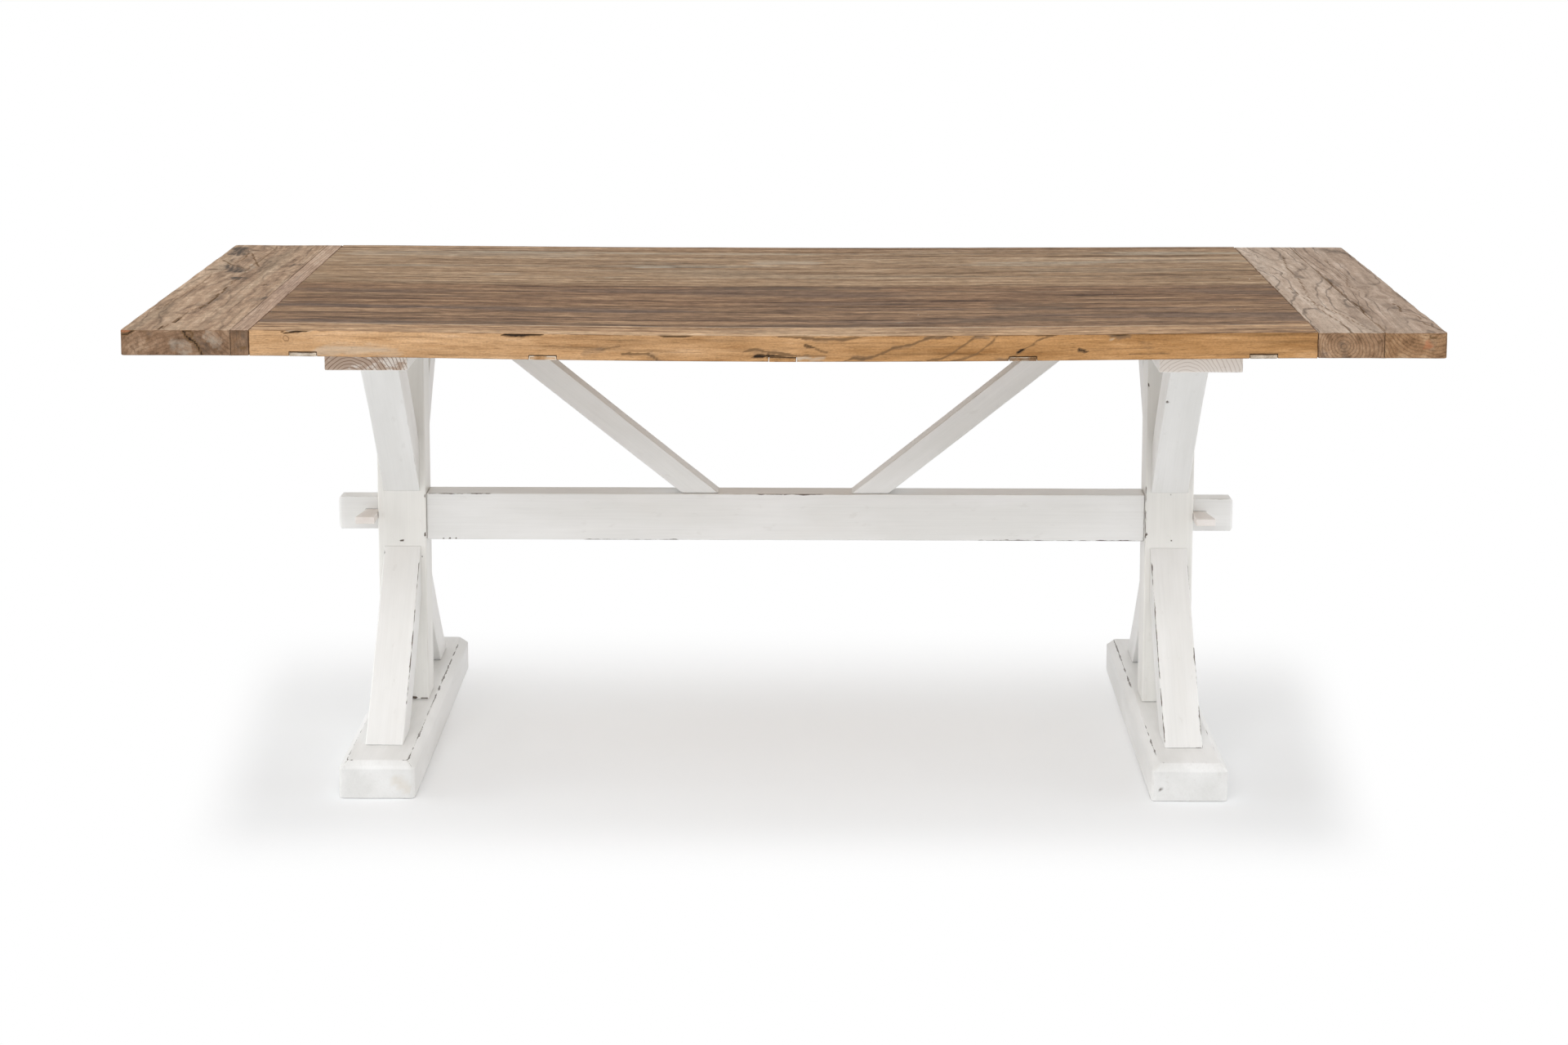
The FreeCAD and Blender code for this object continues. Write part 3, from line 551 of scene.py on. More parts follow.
def sag_at(points):
    """How far the long boards hang at each place: a little between their ends, most at the front."""
    share = np.clip(1 - (points[:, 0] / SAG_REACH) ** 2, 0, 1) ** 1.5
    back = np.clip((points[:, 1] - cad_low[1]) / (cad_high[1] - cad_low[1]), 0, 1)
    return share * (SAG_FRONT + (SAG_BACK - SAG_FRONT) * back)


def sagged(points):
    """Lets points down with the long boards."""
    lowered = points.copy()
    lowered[:, 2] -= sag_at(points)
    return lowered


def settled(node):
    """Lets the upper end of what carries the boards follow them down."""
    low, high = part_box(node)

    def settle(points):
        lowered = points.copy()
        share = np.clip((points[:, 2] - low[2]) / (high[2] - low[2]), 0, 1)
        lowered[:, 2] -= sag_at(points) * share
        return lowered

    return settle


# -------- materials


def tint(colour):
    """A colour as it looks on screen, for a node."""
    return tuple((part / 255 / 12.92) if part < 11 else ((part / 255 + 0.055) / 1.055) ** 2.4
                 for part in colour) + (1.0,)


class Graph:
    """The nodes of a material or the world, with a short call for each kind of node."""

    def __init__(self, owner):
        owner.use_nodes = True
        self.owner = owner
        self.nodes = owner.node_tree.nodes
        self.links = owner.node_tree.links
        self.shader = self.nodes.get("Principled BSDF")
        self.colour = None

    def put(self, kind, *inputs, **settings):
        node = self.nodes.new(kind)
        for key, value in settings.items():
            setattr(node, key, value)
        for number, value in enumerate(inputs):
            self.feed(node.inputs[number], value)
        return node

    def feed(self, socket, value):
        if isinstance(value, bpy.types.NodeSocket):
            self.links.new(value, socket)
        elif value is not None:
            socket.default_value = value

    def math(self, operation, *inputs):
        return self.put("ShaderNodeMath", *inputs, operation=operation).outputs[0]

    def times(self, first, *others):
        for other in others:
            first = self.math("MULTIPLY", first, other)
        return first

    def parts(self, vector):
        return self.put("ShaderNodeSeparateXYZ", vector).outputs

    def stretch(self, vector, scale, offset=(0, 0, 0)):
        return self.put("ShaderNodeVectorMath", vector, scale, offset,
                        operation="MULTIPLY_ADD").outputs[0]

    def noise(self, vector, detail=2.0, roughness=0.5):
        node = self.put("ShaderNodeTexNoise")
        for name, value in (("Vector", vector), ("Scale", 1.0), ("Detail", detail),
                            ("Roughness", roughness)):
            self.feed(node.inputs[name], value)
        return node.outputs[0]

    def field(self, vector, along, across, offset=(0, 0, 0), detail=2.0, roughness=0.5,
              through=None):
        """Noise with so many features to the metre along, across and through the grain."""
        scale = (along, across, through or across)
        return self.noise(self.stretch(vector, scale, offset), detail, roughness)

    def weigh(self, *shares):
        """The sum of some values, each times its share."""
        total = 0.0
        for value, share in shares:
            total = self.math("MULTIPLY_ADD", value, share, total)
        return total

    def band(self, value, low, high, start=0.0, end=1.0):
        return self.put("ShaderNodeMapRange", value, low, high, start, end,
                        interpolation_type="SMOOTHSTEP").outputs[0]

    def line(self, value, low, high, start=0.0, end=1.0):
        return self.put("ShaderNodeMapRange", value, low, high, start, end).outputs[0]

    def ramp(self, value, stops):
        node = self.put("ShaderNodeValToRGB", value)
        elements = node.color_ramp.elements
        while len(elements) < len(stops):
            elements.new(0.5)
        for element, (position, colour) in zip(elements, stops):
            element.position = position
            element.color = tint(colour)
        return node.outputs[0]

    def mix(self, share, first, second, kind="MIX"):
        node = self.put("ShaderNodeMix", data_type="RGBA", blend_type=kind)
        self.feed(node.inputs["Factor"], share)
        self.feed(node.inputs[6], first)
        self.feed(node.inputs[7], second)
        return node.outputs[2]

    def over(self, paint, *shares):
        """Lays a paint over the colour, by the product of the shares."""
        self.colour = self.mix(self.times(*shares), self.colour, tint(paint))

    def between(self, share, first, second):
        """A value from the first to the second, as the share goes from 0 to 1."""
        return self.put("ShaderNodeMix", share, None, first, second, data_type="FLOAT").outputs[0]

    def shade(self, value, low, high):
        """Makes the colour darker or lighter, from low to high as the value goes from 0 to 1."""
        grey = self.put("ShaderNodeCombineColor")
        level = self.line(value, 0.0, 1.0, low, high)
        for number in range(3):
            self.links.new(level, grey.inputs[number])
        self.colour = self.mix(1.0, self.colour, grey.outputs[0], "MULTIPLY")

    def bump(self, height, strength, distance):
        node = self.put("ShaderNodeBump")
        for name, value in (("Strength", strength), ("Distance", distance), ("Height", height)):
            self.feed(node.inputs[name], value)
        self.links.new(node.outputs[0], self.shader.inputs["Normal"])

    def finish(self, roughness, specular):
        self.links.new(self.colour, self.shader.inputs["Base Color"])
        self.feed(self.shader.inputs["Roughness"], roughness)
        self.shader.inputs["Specular IOR Level"].default_value = specular
        return self.owner

    def noted(self):
        """What a piece's corners carry: its grain, its marks, its accent and how near an arris is."""
        grain, marks, accent, worn = (self.put("ShaderNodeAttribute", attribute_name=name).outputs
                                      for name in ("grain", "marks", "accent", "worn"))
        return grain["Vector"], self.parts(marks["Vector"]), accent["Fac"], worn["Fac"]

    def stripes(self, value, low, high):
        """Stripes as the value rises, one to each whole number."""
        return self.band(self.math("PINGPONG", value, 0.5), low, high)

    def radius(self, place, pith):
        """How far a place is from the pith, across the grain."""
        _, across, depth = self.parts(place)
        away = self.put("ShaderNodeCombineXYZ", self.math("SUBTRACT", across, pith[0]),
                        self.math("SUBTRACT", depth, pith[1]), 0.0).outputs[0]
        return self.put("ShaderNodeVectorMath", away, operation="LENGTH").outputs["Value"]

    def looking(self):
        """1 for rays that look at the surface, also in a mirror or through glass, and 0 for light."""
        rays = self.put("ShaderNodeLightPath").outputs
        seen = self.math("MAXIMUM", rays["Is Camera Ray"], rays["Is Glossy Ray"])
        return self.math("MAXIMUM", seen, rays["Is Transmission Ray"])

    def facing(self):
        """How far the surface faces along X and Y, from 0 to 1, and its upward part with sign."""
        normal = self.put("ShaderNodeTexCoord").outputs["Normal"]
        x, y, z = self.parts(normal)
        return self.math("ABSOLUTE", x), self.math("ABSOLUTE", y), z


def spread(*colours):
    """Stops for a ramp over the middle of a noise, where most of its values are."""
    count = len(colours)
    return [(0.40 + 0.20 * number / (count - 1), colour) for number, colour in enumerate(colours)]


def old_wood(name, top, side, end_axis, far=None, streak=0.5, broad=30.0, patch=(160, 150, 136),
             patches=0.3, dash=1.0, pith=(0.05, -0.04), ring=0.004, figure=0.010, swirl=1.0,
             drawn=0.15, ends=0.5, rim=(96, 70, 50), seed=0.0):
    """Reclaimed wood: streaks and fibres along the grain, rings about a pith, cracks and stains."""
    g = Graph(bpy.data.materials.new(name))
    own, (crack, knot, stain), rust, worn = g.noted()
    grain = g.stretch(own, (1, 1, 1), (seed * 3.1, 0, 0))
    faces = g.facing()
    end = g.band(faces[end_axis], 0.5, 0.85)
    upper = g.band(faces[2], 0.45, 0.8)

    wander = g.line(g.field(grain, 1.6, 9), 0.0, 1.0, -0.012, 0.012)
    shift = g.put("ShaderNodeCombineXYZ", 0.0, wander, wander).outputs[0]
    warped = g.put("ShaderNodeVectorMath", grain, shift, operation="ADD").outputs[0]

    wide = g.field(warped, 0.9, broad, detail=4.0, roughness=0.6)
    middle = g.field(warped, 4.4, 56, (4.0, 1.0, 2.0), 3.0, 0.6)
    small = g.field(warped, 17, 130, (7.0, 3.0, 5.0), 3.0, 0.6)
    tone_top = g.ramp(g.weigh((wide, 0.34), (middle, 0.34), (small, 0.32)), spread(*top))
    mottle = g.field(warped, 22, 150, (2.0, 4.0, 6.0), 3.0, 0.6)
    cloudy = g.field(warped, 5, 38, (6.0, 2.0, 1.0), 3.0, 0.5)
    sided = g.weigh((wide, 0.25), (middle, 0.20), (cloudy, 0.35), (mottle, 0.20))
    tone_side = g.ramp(sided, spread(*side))
    if far:
        along = g.parts(own)[0]
        tone_side = g.mix(g.band(along, 0.1, 1.3), tone_side, g.ramp(sided, spread(*far)))
    g.colour = g.mix(upper, tone_side, tone_top)
    under = g.band(faces[2], -0.75, -0.95)
    g.over(UNDERSIDE, under, 0.75)

    cloud = g.band(g.field(grain, 2.2, 16, (2.0, 5.0, 1.0), 3.0), 0.50, 0.66)
    g.over(patch, cloud, upper, patches)

    narrow = g.field(warped, 2.4, 105, (7.0, 0.0, 0.0), 3.0, 0.62)
    g.shade(g.times(g.band(narrow, 0.54, 0.70), streak), 1.0, 0.58)
    g.shade(g.times(g.band(narrow, 0.44, 0.30), streak), 1.0, 1.18)
    thread = g.field(warped, 3.6, 48, (1.0, 6.0, 3.0), 3.0, 0.55)
    g.shade(g.times(g.band(thread, 0.56, 0.68), streak), 1.0, 0.70)

    radius = g.radius(warped, pith)
    curl = g.field(grain, 1.7, 9, (1.5, 2.5, 0.5), 1.0, 0.4)
    ripple = g.field(grain, 11, 30, (2.5, 0.5, 1.5), 2.0)
    turns = g.weigh((radius, 1 / figure), (curl, swirl * 4), (ripple, 1.3))
    drawing = g.stripes(turns, 0.37, 0.48)
    patchy = g.band(g.field(grain, 4, 18, (9.0, 0.0, 0.0)), 0.36, 0.56, 0.3, 1.0)
    growth = g.weigh((radius, 1 / ring), (g.field(grain, 9, 24, (3.0, 1.0, 4.0), 1.0), 3.0))
    rings = g.stripes(growth, 0.24, 0.48)
    drawn_here = g.times(drawing, patchy, drawn)
    ring_here = g.times(rings, ends)
    lines = g.between(end, drawn_here, ring_here)
    g.shade(lines, 1.0, 0.45)

    fibre = g.field(grain, 20, 900, detail=2.0, roughness=0.6)
    g.shade(g.line(fibre, 0.3, 0.7), 0.90, 1.10)
    dashes = g.field(grain, 48, 78, (5.0, 2.0, 8.0), 2.0, 0.55)
    dashed = g.between(g.times(upper, dash), 0.5, g.line(dashes, 0.32, 0.68))
    g.shade(dashed, 0.81, 1.19)
    grit = g.field(grain, 260, 420, detail=1.0)
    g.shade(g.line(grit, 0.3, 0.7), 0.91, 1.09)
    pores = g.band(g.field(grain, 60, 1500, (0.0, 3.0, 0.0), 1.0), 0.62, 0.72)
    g.shade(pores, 1.0, 0.66)

    bloom = g.math("MAXIMUM", stain, 0.0)
    fade = g.math("MAXIMUM", g.times(stain, -1.0), 0.0)
    ragged = g.line(g.field(warped, 14, 120, detail=3.0), 0.36, 0.62, 0.30, 1.0)
    g.over(STAIN, bloom, ragged, 0.75)
    g.over(PALE, fade, ragged, 0.75)
    g.over(ORANGE, rust, 0.7)

    lashes = g.times(g.stripes(g.times(knot, 4.5), 0.25, 0.5), g.band(knot, 0.02, 0.3))
    core = g.band(knot, 0.50, 0.95)
    g.over(KNOT, lashes, 0.55)
    g.over(KNOT, core, 0.75)

    # the rim along the arrises: dark wear and dirt with a painted shadow line along the arris, or the
    # pale paint on some batten ends
    edge = g.times(g.band(worn, 0.0022, 0.0004),
                  g.band(g.field(grain, 30, 60, detail=3.0), 0.40, 0.60))
    g.over(rim, edge, 0.7)
    g.over(VEIN, g.band(crack, 0.08, 0.46, 0.0, 0.85))
    gap = g.band(crack, 0.60, 0.90)
    g.over(CRACK, gap)

    cells = g.put("ShaderNodeTexVoronoi", feature="F1")
    g.feed(cells.inputs["Vector"], grain)
    cells.inputs["Scale"].default_value = 26.0
    chosen = g.math("GREATER_THAN", g.parts(cells.outputs["Color"])[0], 0.86)
    speck = g.times(chosen, g.band(cells.outputs["Distance"], 0.035, 0.022))
    g.over(SPECK, speck, upper)

    height = g.weigh((fibre, 0.55), (narrow, 0.5), (pores, -0.5), (lines, -0.5), (gap, -1.2))
    g.bump(height, 0.6, 0.0009)
    return g.finish(g.line(fibre, 0.2, 0.8, 0.74, 0.88), 0.06)


BEARER_PITH = (0.040, -0.020)
BEARER_RING = 0.0056
BEARER_WIDTH = 0.128
END_WOOD = ((194, 172, 154), (132, 104, 84))
END_PAINT = ((240, 234, 228), (150, 128, 112))


def old_paint(name, shade=PAINT_SHADE, light=PAINT_LIGHT, bare=None, lines=0.5, dash=(15, 90),
              thick=0.0016, ends=1.0, seed=0.0):
    """Matt off-white paint on planed wood, rubbed through here and there along its arrises.

    With bare, the end grain shows through thin paint, from the first share to the last across it.
    The faces that look to the front and back are darker by the share ends: painted shade, which leaves
    the tops and sides lighter than these faces.
    """
    g = Graph(bpy.data.materials.new(name))
    own, (crack, _, stain), accent, worn = g.noted()
    grain = g.stretch(own, (1, 1, 1), (seed, 0, 0))
    mottle = g.field(grain, 3, 13, detail=4.0, roughness=0.55)
    g.colour = g.ramp(mottle, [(0.38, shade), (0.60, light)])
    brush = g.field(grain, 6, 330, detail=3.0, roughness=0.6)
    g.shade(g.line(brush, 0.3, 0.7), 0.975, 1.015)
    under = g.field(grain, 2.4, 95, (3.0, 0.0, 1.0), 3.0, 0.65)
    g.shade(g.band(under, 0.56, 0.70), 1.0, 0.975)
    warm = g.band(g.field(grain, 4, 9, (5.0, 0.0, 0.0), 3.0), 0.54, 0.70)
    g.over(PAINT_WARM, warm, 0.10)
    smudge = g.band(g.field(grain, 26, 60, (1.0, 7.0, 2.0), 3.0, 0.6), 0.62, 0.72)
    g.over(RUBBED, smudge, 0.08)
    end = g.band(g.facing()[1], 0.5, 0.9)
    # painted shade: the faces that look to the front and back are darkened by the share ends
    if ends != 1.0:
        g.shade(end, 1.0, ends)

    if bare:
        radius = g.radius(grain, BEARER_PITH)
        curl = g.field(grain, 9, 24, (1.0, 4.0, 0.0))
        rings = g.stripes(g.weigh((radius, 1 / BEARER_RING), (curl, 2.4)), 0.32, 0.47)
        share = g.line(g.parts(grain)[1], 0.0, BEARER_WIDTH, *bare)
        wash = g.field(grain, 40, 55, detail=3.0, roughness=0.65, through=90)
        shown = g.band(g.weigh((wash, 1.0), (share, 0.30)), 0.52, 0.68)
        wood = g.mix(rings, *map(tint, END_WOOD))
        thin = g.mix(g.times(rings, lines), *map(tint, END_PAINT))
        g.colour = g.mix(end, g.colour, g.mix(shown, thin, wood))

    broken = g.field(grain, 36, 90, detail=3.0, roughness=0.6)
    reach = g.math("ADD", worn, g.line(broken, 0.3, 0.7, -0.0016, 0.0016))
    places = g.band(g.field(grain, 5.2, 12, (8.0, 3.0, 0.0)), 0.54, 0.64)
    rubbed = g.times(g.band(reach, 0.0009, 0.0001), places)
    g.over(RUBBED, rubbed, 0.35)
    dashes = g.field(grain, *dash, (2.0, 2.0, 9.0), 4.0, 0.65)
    dashed = g.band(dashes, 0.40, 0.48)
    line = g.times(g.band(reach, thick, thick / 2), g.band(accent, 0.15, 0.5), dashed)
    g.over(BARE, line, 0.92)
    g.over(BARE, g.band(crack, 0.2, 0.8))
    g.over(SCUFF, g.math("MAXIMUM", stain, 0.0), 0.6)

    height = g.weigh((brush, 0.12), (under, 0.35), (rubbed, -0.5), (line, -0.6), (crack, -0.8))
    g.bump(height, 0.25, 0.0005)
    return g.finish(g.line(brush, 0.2, 0.8, 0.32, 0.44), 0.5)


def old_steel(name):
    """Plain steel with a dull brushed face and brown rust in patches."""
    g = Graph(bpy.data.materials.new(name))
    place = g.put("ShaderNodeTexCoord").outputs["Object"]
    patch = g.noise(g.stretch(place, (240, 240, 240)), 3.0, 0.6)
    brush = g.noise(g.stretch(place, (2600, 300, 300)), 2.0)
    rusty = g.band(patch, 0.48, 0.66)
    g.colour = g.ramp(brush, [(0.3, STEEL), (0.7, STEEL_LIGHT)])
    g.over(RUST, rusty)
    g.bump(g.math("ADD", patch, brush), 0.3, 0.0002)
    g.links.new(g.line(rusty, 0.0, 1.0, 1.0, 0.15), g.shader.inputs["Metallic"])
    return g.finish(g.line(rusty, 0.0, 1.0, 0.38, 0.78), 0.5)


# -------- the top

BOARD_TONES = {
    1: [(128, 101, 78), (172, 138, 107), (194, 160, 126), (216, 185, 151)],
    2: [(88, 70, 59), (127, 102, 82), (151, 121, 95), (178, 147, 117)],
    3: [(84, 66, 55), (126, 99, 79), (148, 118, 92), (176, 145, 115)],
    4: [(113, 90, 71), (150, 123, 97), (167, 139, 111), (190, 163, 135)],
    5: [(116, 93, 73), (154, 127, 101), (173, 146, 118), (198, 173, 147)],
    6: [(100, 77, 58), (144, 116, 91), (164, 135, 108), (190, 161, 134)],
}
BOARD_PATCHES = {1: ((160, 144, 126), 0.2), 2: ((114, 99, 90), 0.5), 3: ((109, 93, 83), 0.5),
                 4: ((148, 133, 114), 0.4), 5: ((174, 165, 149), 0.5), 6: ((148, 133, 116), 0.3)}
EDGE_TONES = [(165, 126, 88), (187, 148, 108), (202, 163, 123), (220, 184, 148)]
EDGE_FAR = [(148, 106, 64), (170, 127, 82), (183, 139, 93), (202, 160, 116)]
PLANKS = {
    "left_outer": dict(
        top=[(142, 117, 96), (171, 143, 119), (185, 158, 133), (202, 176, 151)],
        side=[(108, 84, 65), (132, 104, 82), (145, 117, 94), (166, 139, 115)],
        pith=(0.085, -0.050), ring=0.0065, ends=0.35, figure=0.013, swirl=1.2, drawn=0.55,
        streak=0.70, patches=0.45, patch=(150, 133, 112), dash=0.9),
    "left_inner": dict(
        top=[(150, 123, 104), (176, 148, 127), (189, 161, 139), (205, 180, 158)],
        side=[(104, 80, 60), (126, 98, 75), (138, 110, 87), (158, 128, 103)],
        pith=(-0.300, 0.020), ring=0.0042, ends=0.30, figure=0.0046, swirl=0.5, drawn=0.75,
        streak=0.45, patches=0.25, patch=(186, 160, 146), dash=0.5),
    "right_inner": dict(
        top=[(160, 139, 122), (182, 161, 143), (193, 172, 154), (210, 191, 174)],
        side=[(114, 88, 66), (147, 116, 90), (163, 132, 104), (186, 156, 130)],
        pith=(0.041, 0.021), ring=0.0050, ends=0.60, figure=0.017, swirl=1.7, drawn=0.85,
        streak=0.30, patches=0.35, patch=(196, 180, 164), dash=0.4),
    "right_outer": dict(
        top=[(149, 127, 110), (171, 149, 131), (182, 160, 142), (201, 180, 163)],
        side=[(116, 88, 63), (148, 114, 84), (164, 130, 98), (188, 156, 124)],
        pith=(0.070, 0.075), ring=0.0060, ends=0.50, figure=0.013, swirl=2.1, drawn=0.80,
        streak=0.35, patches=0.35, patch=(172, 154, 138), dash=0.4),
}


def groove_lines(node):
    """Where a long board's batten grooves begin and end, along it."""
    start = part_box(node)[0][0]
    boxes = [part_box(f"cross_batten_{number}") for number in range(1, BATTENS + 1)]
    return [(low[0] - GROOVE_PLAY - start, high[0] + GROOVE_PLAY - start) for low, high in boxes]


def cut_grooves(grooves, depth, thickness):
    """Lifts a board's underside over each batten."""
    def bend(points):
        moved = points.copy()
        for low, high in grooves:
            inside = (points[:, 0] > low) & (points[:, 0] < high)
            moved[inside, 2] = depth + points[inside, 2] * (1 - depth / thickness)
        return moved
    return bend


def long_boards():
    """The boards that run along the table, grooved below for the battens."""
    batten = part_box("cross_batten_1")
    depth = batten[1][2] - batten[0][2] + GROOVE_PLAY
    for number in range(1, LONG_BOARDS + 1):
        node = f"top_board_{number}"
        size, put = laid(node, (0, 1, 2))
        grooves = groove_lines(node)
        walls = [wall + way * GROOVE_WALL for groove in grooves for wall in groove for way in (-1, 1)]
        fine = number == 1      # its front edge is seen
        patch, patches = BOARD_PATCHES[number]
        material = old_wood(node, BOARD_TONES[number], EDGE_TONES, 0, far=EDGE_FAR, streak=0.75,
                            broad=24.0 + 3 * number, patch=patch, patches=patches,
                            pith=(0.1, -0.15 - 0.03 * number), ring=0.006, figure=0.009, swirl=0.9,
                            drawn=0.22, seed=number + 0.5)
        steps = (0.004, 0.005, 0.0022) if fine else (0.010, 0.005, 0.006)
        solid(node, size, put, material, steps, edge=(0.004, 0.0028, 0.0028),
              arris=BOARD_ARRIS, chips=0.0015, relief=0.0005, extra=(walls, (), ()),
              bend=cut_grooves(grooves, depth, size[2]), settle=sagged, seed=20 + number)


def cross_planks():
    """The two planks across each end, with rounded outer corners."""
    for number, (name, looks) in enumerate(PLANKS.items()):
        node = name + "_plank"
        way = SIDES[name.split("_")[0]]
        size, put = laid(node, (1, 0, 2))
        outer = name.endswith("outer")
        joint = int(outer == (way < 0))

        def bend(points, way=way, size=size):
            return rounded(points, size, PLANK_CORNER, way)

        material = old_wood(node, end_axis=1, broad=26.0, seed=11.5 + number * 1.3, **looks)
        solid(node, size, put, material, steps=(0.0055, 0.0030, 0.0026),
              edge=(0.007, 0.007 if outer else 0.003, 0.003), arris=PLANK_ARRIS, chips=0.0035,
              relief=0.0010, bend=bend if outer else None, seed=40 + number, snug=(1, joint))


BATTEN_TONES = [(150, 118, 86), (176, 142, 106), (190, 156, 120), (204, 172, 138)]
CHALKY = [(172, 152, 130), (192, 176, 156), (206, 192, 174), (218, 207, 192)]
DARK_END = [(96, 72, 50), (124, 94, 66), (142, 110, 80), (160, 128, 96)]
BATTEN_ENDS = {1: (CHALKY, (84, 66, 52)), 2: (EDGE_TONES, (232, 224, 210)),
               3: (EDGE_FAR, (96, 70, 50)), 4: (DARK_END, (222, 212, 196)),
               5: (CHALKY, (84, 66, 52))}


def battens():
    """The flat battens under the long boards, some with paint on their ends."""
    for number in range(1, BATTENS + 1):
        node = f"cross_batten_{number}"
        size, put = laid(node, (1, 0, 2))
        ends, rim = BATTEN_ENDS[number]
        material = old_wood(node, BATTEN_TONES, ends, 1, streak=0.5, broad=40.0, pith=(0.02, -0.06),
                            ring=0.004, ends=0.25, rim=rim, seed=20.5 + number)
        solid(node, size, put, material, steps=(0.016, 0.006, 0.002), edge=(0.003, 0.001, 0.001),
              arris=0.0006, relief=0.0002, settle=sagged, seed=60 + number)


# -------- the painted base


def bearers():
    """The cross-pieces under the top, with the end grain showing through thin paint."""
    shares = {"left": (1.0, 0.15), "right": (-0.4, -0.4)}
    for number, side in enumerate(SIDES):
        node = side + "_bearer"
        size, put = laid(node, (1, 0, 2))
        paint = old_paint(node, bare=shares[side], lines=0.9 - 0.55 * number, seed=number * 1.7)
        solid(node, size, put, paint, steps=(0.010, 0.008, 0.0045), arris=0.0022, chips=0.0022,
              relief=0.0005, settle=settled(node), seed=70 + number)


def feet(material):
    """The sleds on the floor: bevelled along the top, with rounded corners."""
    bevel, corner = 0.012, 0.008
    for number, side in enumerate(SIDES):
        node = side + "_foot"
        size, put = laid(node, (1, 0, 2))
        shoulder = size[2] - bevel

        def bend(points, size=size, shoulder=shoulder):
            inset = np.maximum(points[:, 2] - shoulder, 0)
            return drawn_in(rounded(points, size, corner), size, (0, 1), inset)

        solid(node, size, put, material, steps=(0.010, 0.009, 0.0075), edge=(0.008, 0.008, 0.003),
              arris=0.0018, chips=0.0012, relief=0.0004,
              extra=((), (), (shoulder, shoulder - 0.001, shoulder + bevel / 2)), bend=bend,
              seed=80 + number, start=3.3 + number * 1.9)


def posts(material):
    """The uprights between a foot and a bearer; their stub tenons are out of sight."""
    for number, side in enumerate(SIDES):
        node = side + "_post"
        size, put = laid(node, (2, 0, 1))
        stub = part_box(side + "_foot")[1][2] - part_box(node)[0][2]
        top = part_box(node)[1][2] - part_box(side + "_bearer")[0][2]
        size = size - np.array([stub + top, 0, 0])

        def raised(points, put=put, stub=stub):
            return put(points + np.array([stub, 0, 0]))

        xs, zs = small_marks(node)
        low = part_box(node)[0]
        up = beside([z - low[2] - stub for z in zs], size[0])
        across = beside([x - low[0] for x in xs], size[1])
        solid(node, size, raised, material, steps=(0.010, 0.007, 0.009), arris=0.0024,
              chips=0.0012, relief=0.0004, extra=(up, across, ()), seed=90 + number,
              start=6.1 + number * 2.3)


def arms(material):
    """The leaning arms, each between a post and a bearer or a foot, hollowed a little outside."""
    bow = 0.005
    for number, (side, face, level) in enumerate(product(SIDES, FACES, ("upper", "lower"))):
        node = f"{side}_{face}_{level}_arm"
        found = corners_of(node)
        away, height = np.abs(found[:, 1]), found[:, 2]
        end = height.max() if level == "upper" else height.min()
        at_post = height[away < away.min() + TOUCH]
        at_end = away[np.abs(height - end) < TOUCH]
        tip = at_post[np.argmax(np.abs(at_post - end))]
        crotch = at_post[np.argmin(np.abs(at_post - end))]
        outer = np.array([(away.min(), tip), (at_end.max(), end)])
        inner = np.array([(away.min(), crotch), (at_end.min(), end)])
        length, depth, lean = beam(outer, inner, 0)
        low, high = found[:, 0].min(), found[:, 0].max()
        size = np.array([length, depth, high - low])

        def put(points, size=size, outer=outer, inner=inner, lean=lean, low=low, way=FACES[face]):
            flat = leaning(points, size, outer, inner, lean * bow)
            return np.stack([low + points[:, 2], way * flat[:, 0], flat[:, 1]], 1)

        solid(node, size, put, material, steps=(0.007, 0.008, 0.006), arris=0.0022, chips=0.0014,
              seed=100 + number, start=9.7 + number * 0.9, sharp=0.03)


def stretcher(material):
    """The rail between the posts, and the tenon at each end with its slot for the key."""
    found = corners_of("stretcher")
    inside = found[np.abs(found[:, 1]) > np.abs(found[:, 1]).max() - TOUCH]
    low, high = inside.min(axis=0), inside.max(axis=0)
    order = [0, 2, 1]
    size = (high - low)[order]
    along = beside([x - low[0] for x in small_marks("stretcher")[0]], size[0])
    solid("stretcher_rail", size, lambda points: low + points[:, order], material,
          steps=(0.012, 0.008, 0.007), node="stretcher", chips=0.0014, relief=0.0004,
          extra=(along, (), ()), seed=120, start=17.3)
    bevel = 0.004
    for number, (side, way) in enumerate(SIDES.items()):
        outside = found[found[:, 0] * way > high[0] + 10 * TOUCH]
        near, far = outside.min(axis=0), outside.max(axis=0)
        near[0], far[0] = sorted((way * high[0], way * np.abs(outside[:, 0]).max()))
        size = (far - near)[order]

        def bend(points, size=size, way=way):
            out = points[:, 0] if way > 0 else size[0] - points[:, 0]
            return drawn_in(points, size, (1, 2), np.maximum(out - (size[0] - bevel), 0))

        piece = solid(side + "_tenon", size, lambda points, near=near: near + points[:, order],
                      material, steps=(0.008, 0.007, 0.006), edge=(0.002, 0.003, 0.003),
                      node="stretcher", arris=0.0010, bend=bend,
                      extra=((size[0] - bevel if way > 0 else bevel,), (), ()),
                      seed=124 + number, start=21.0 + number)
        cut_slot(piece, side, way)


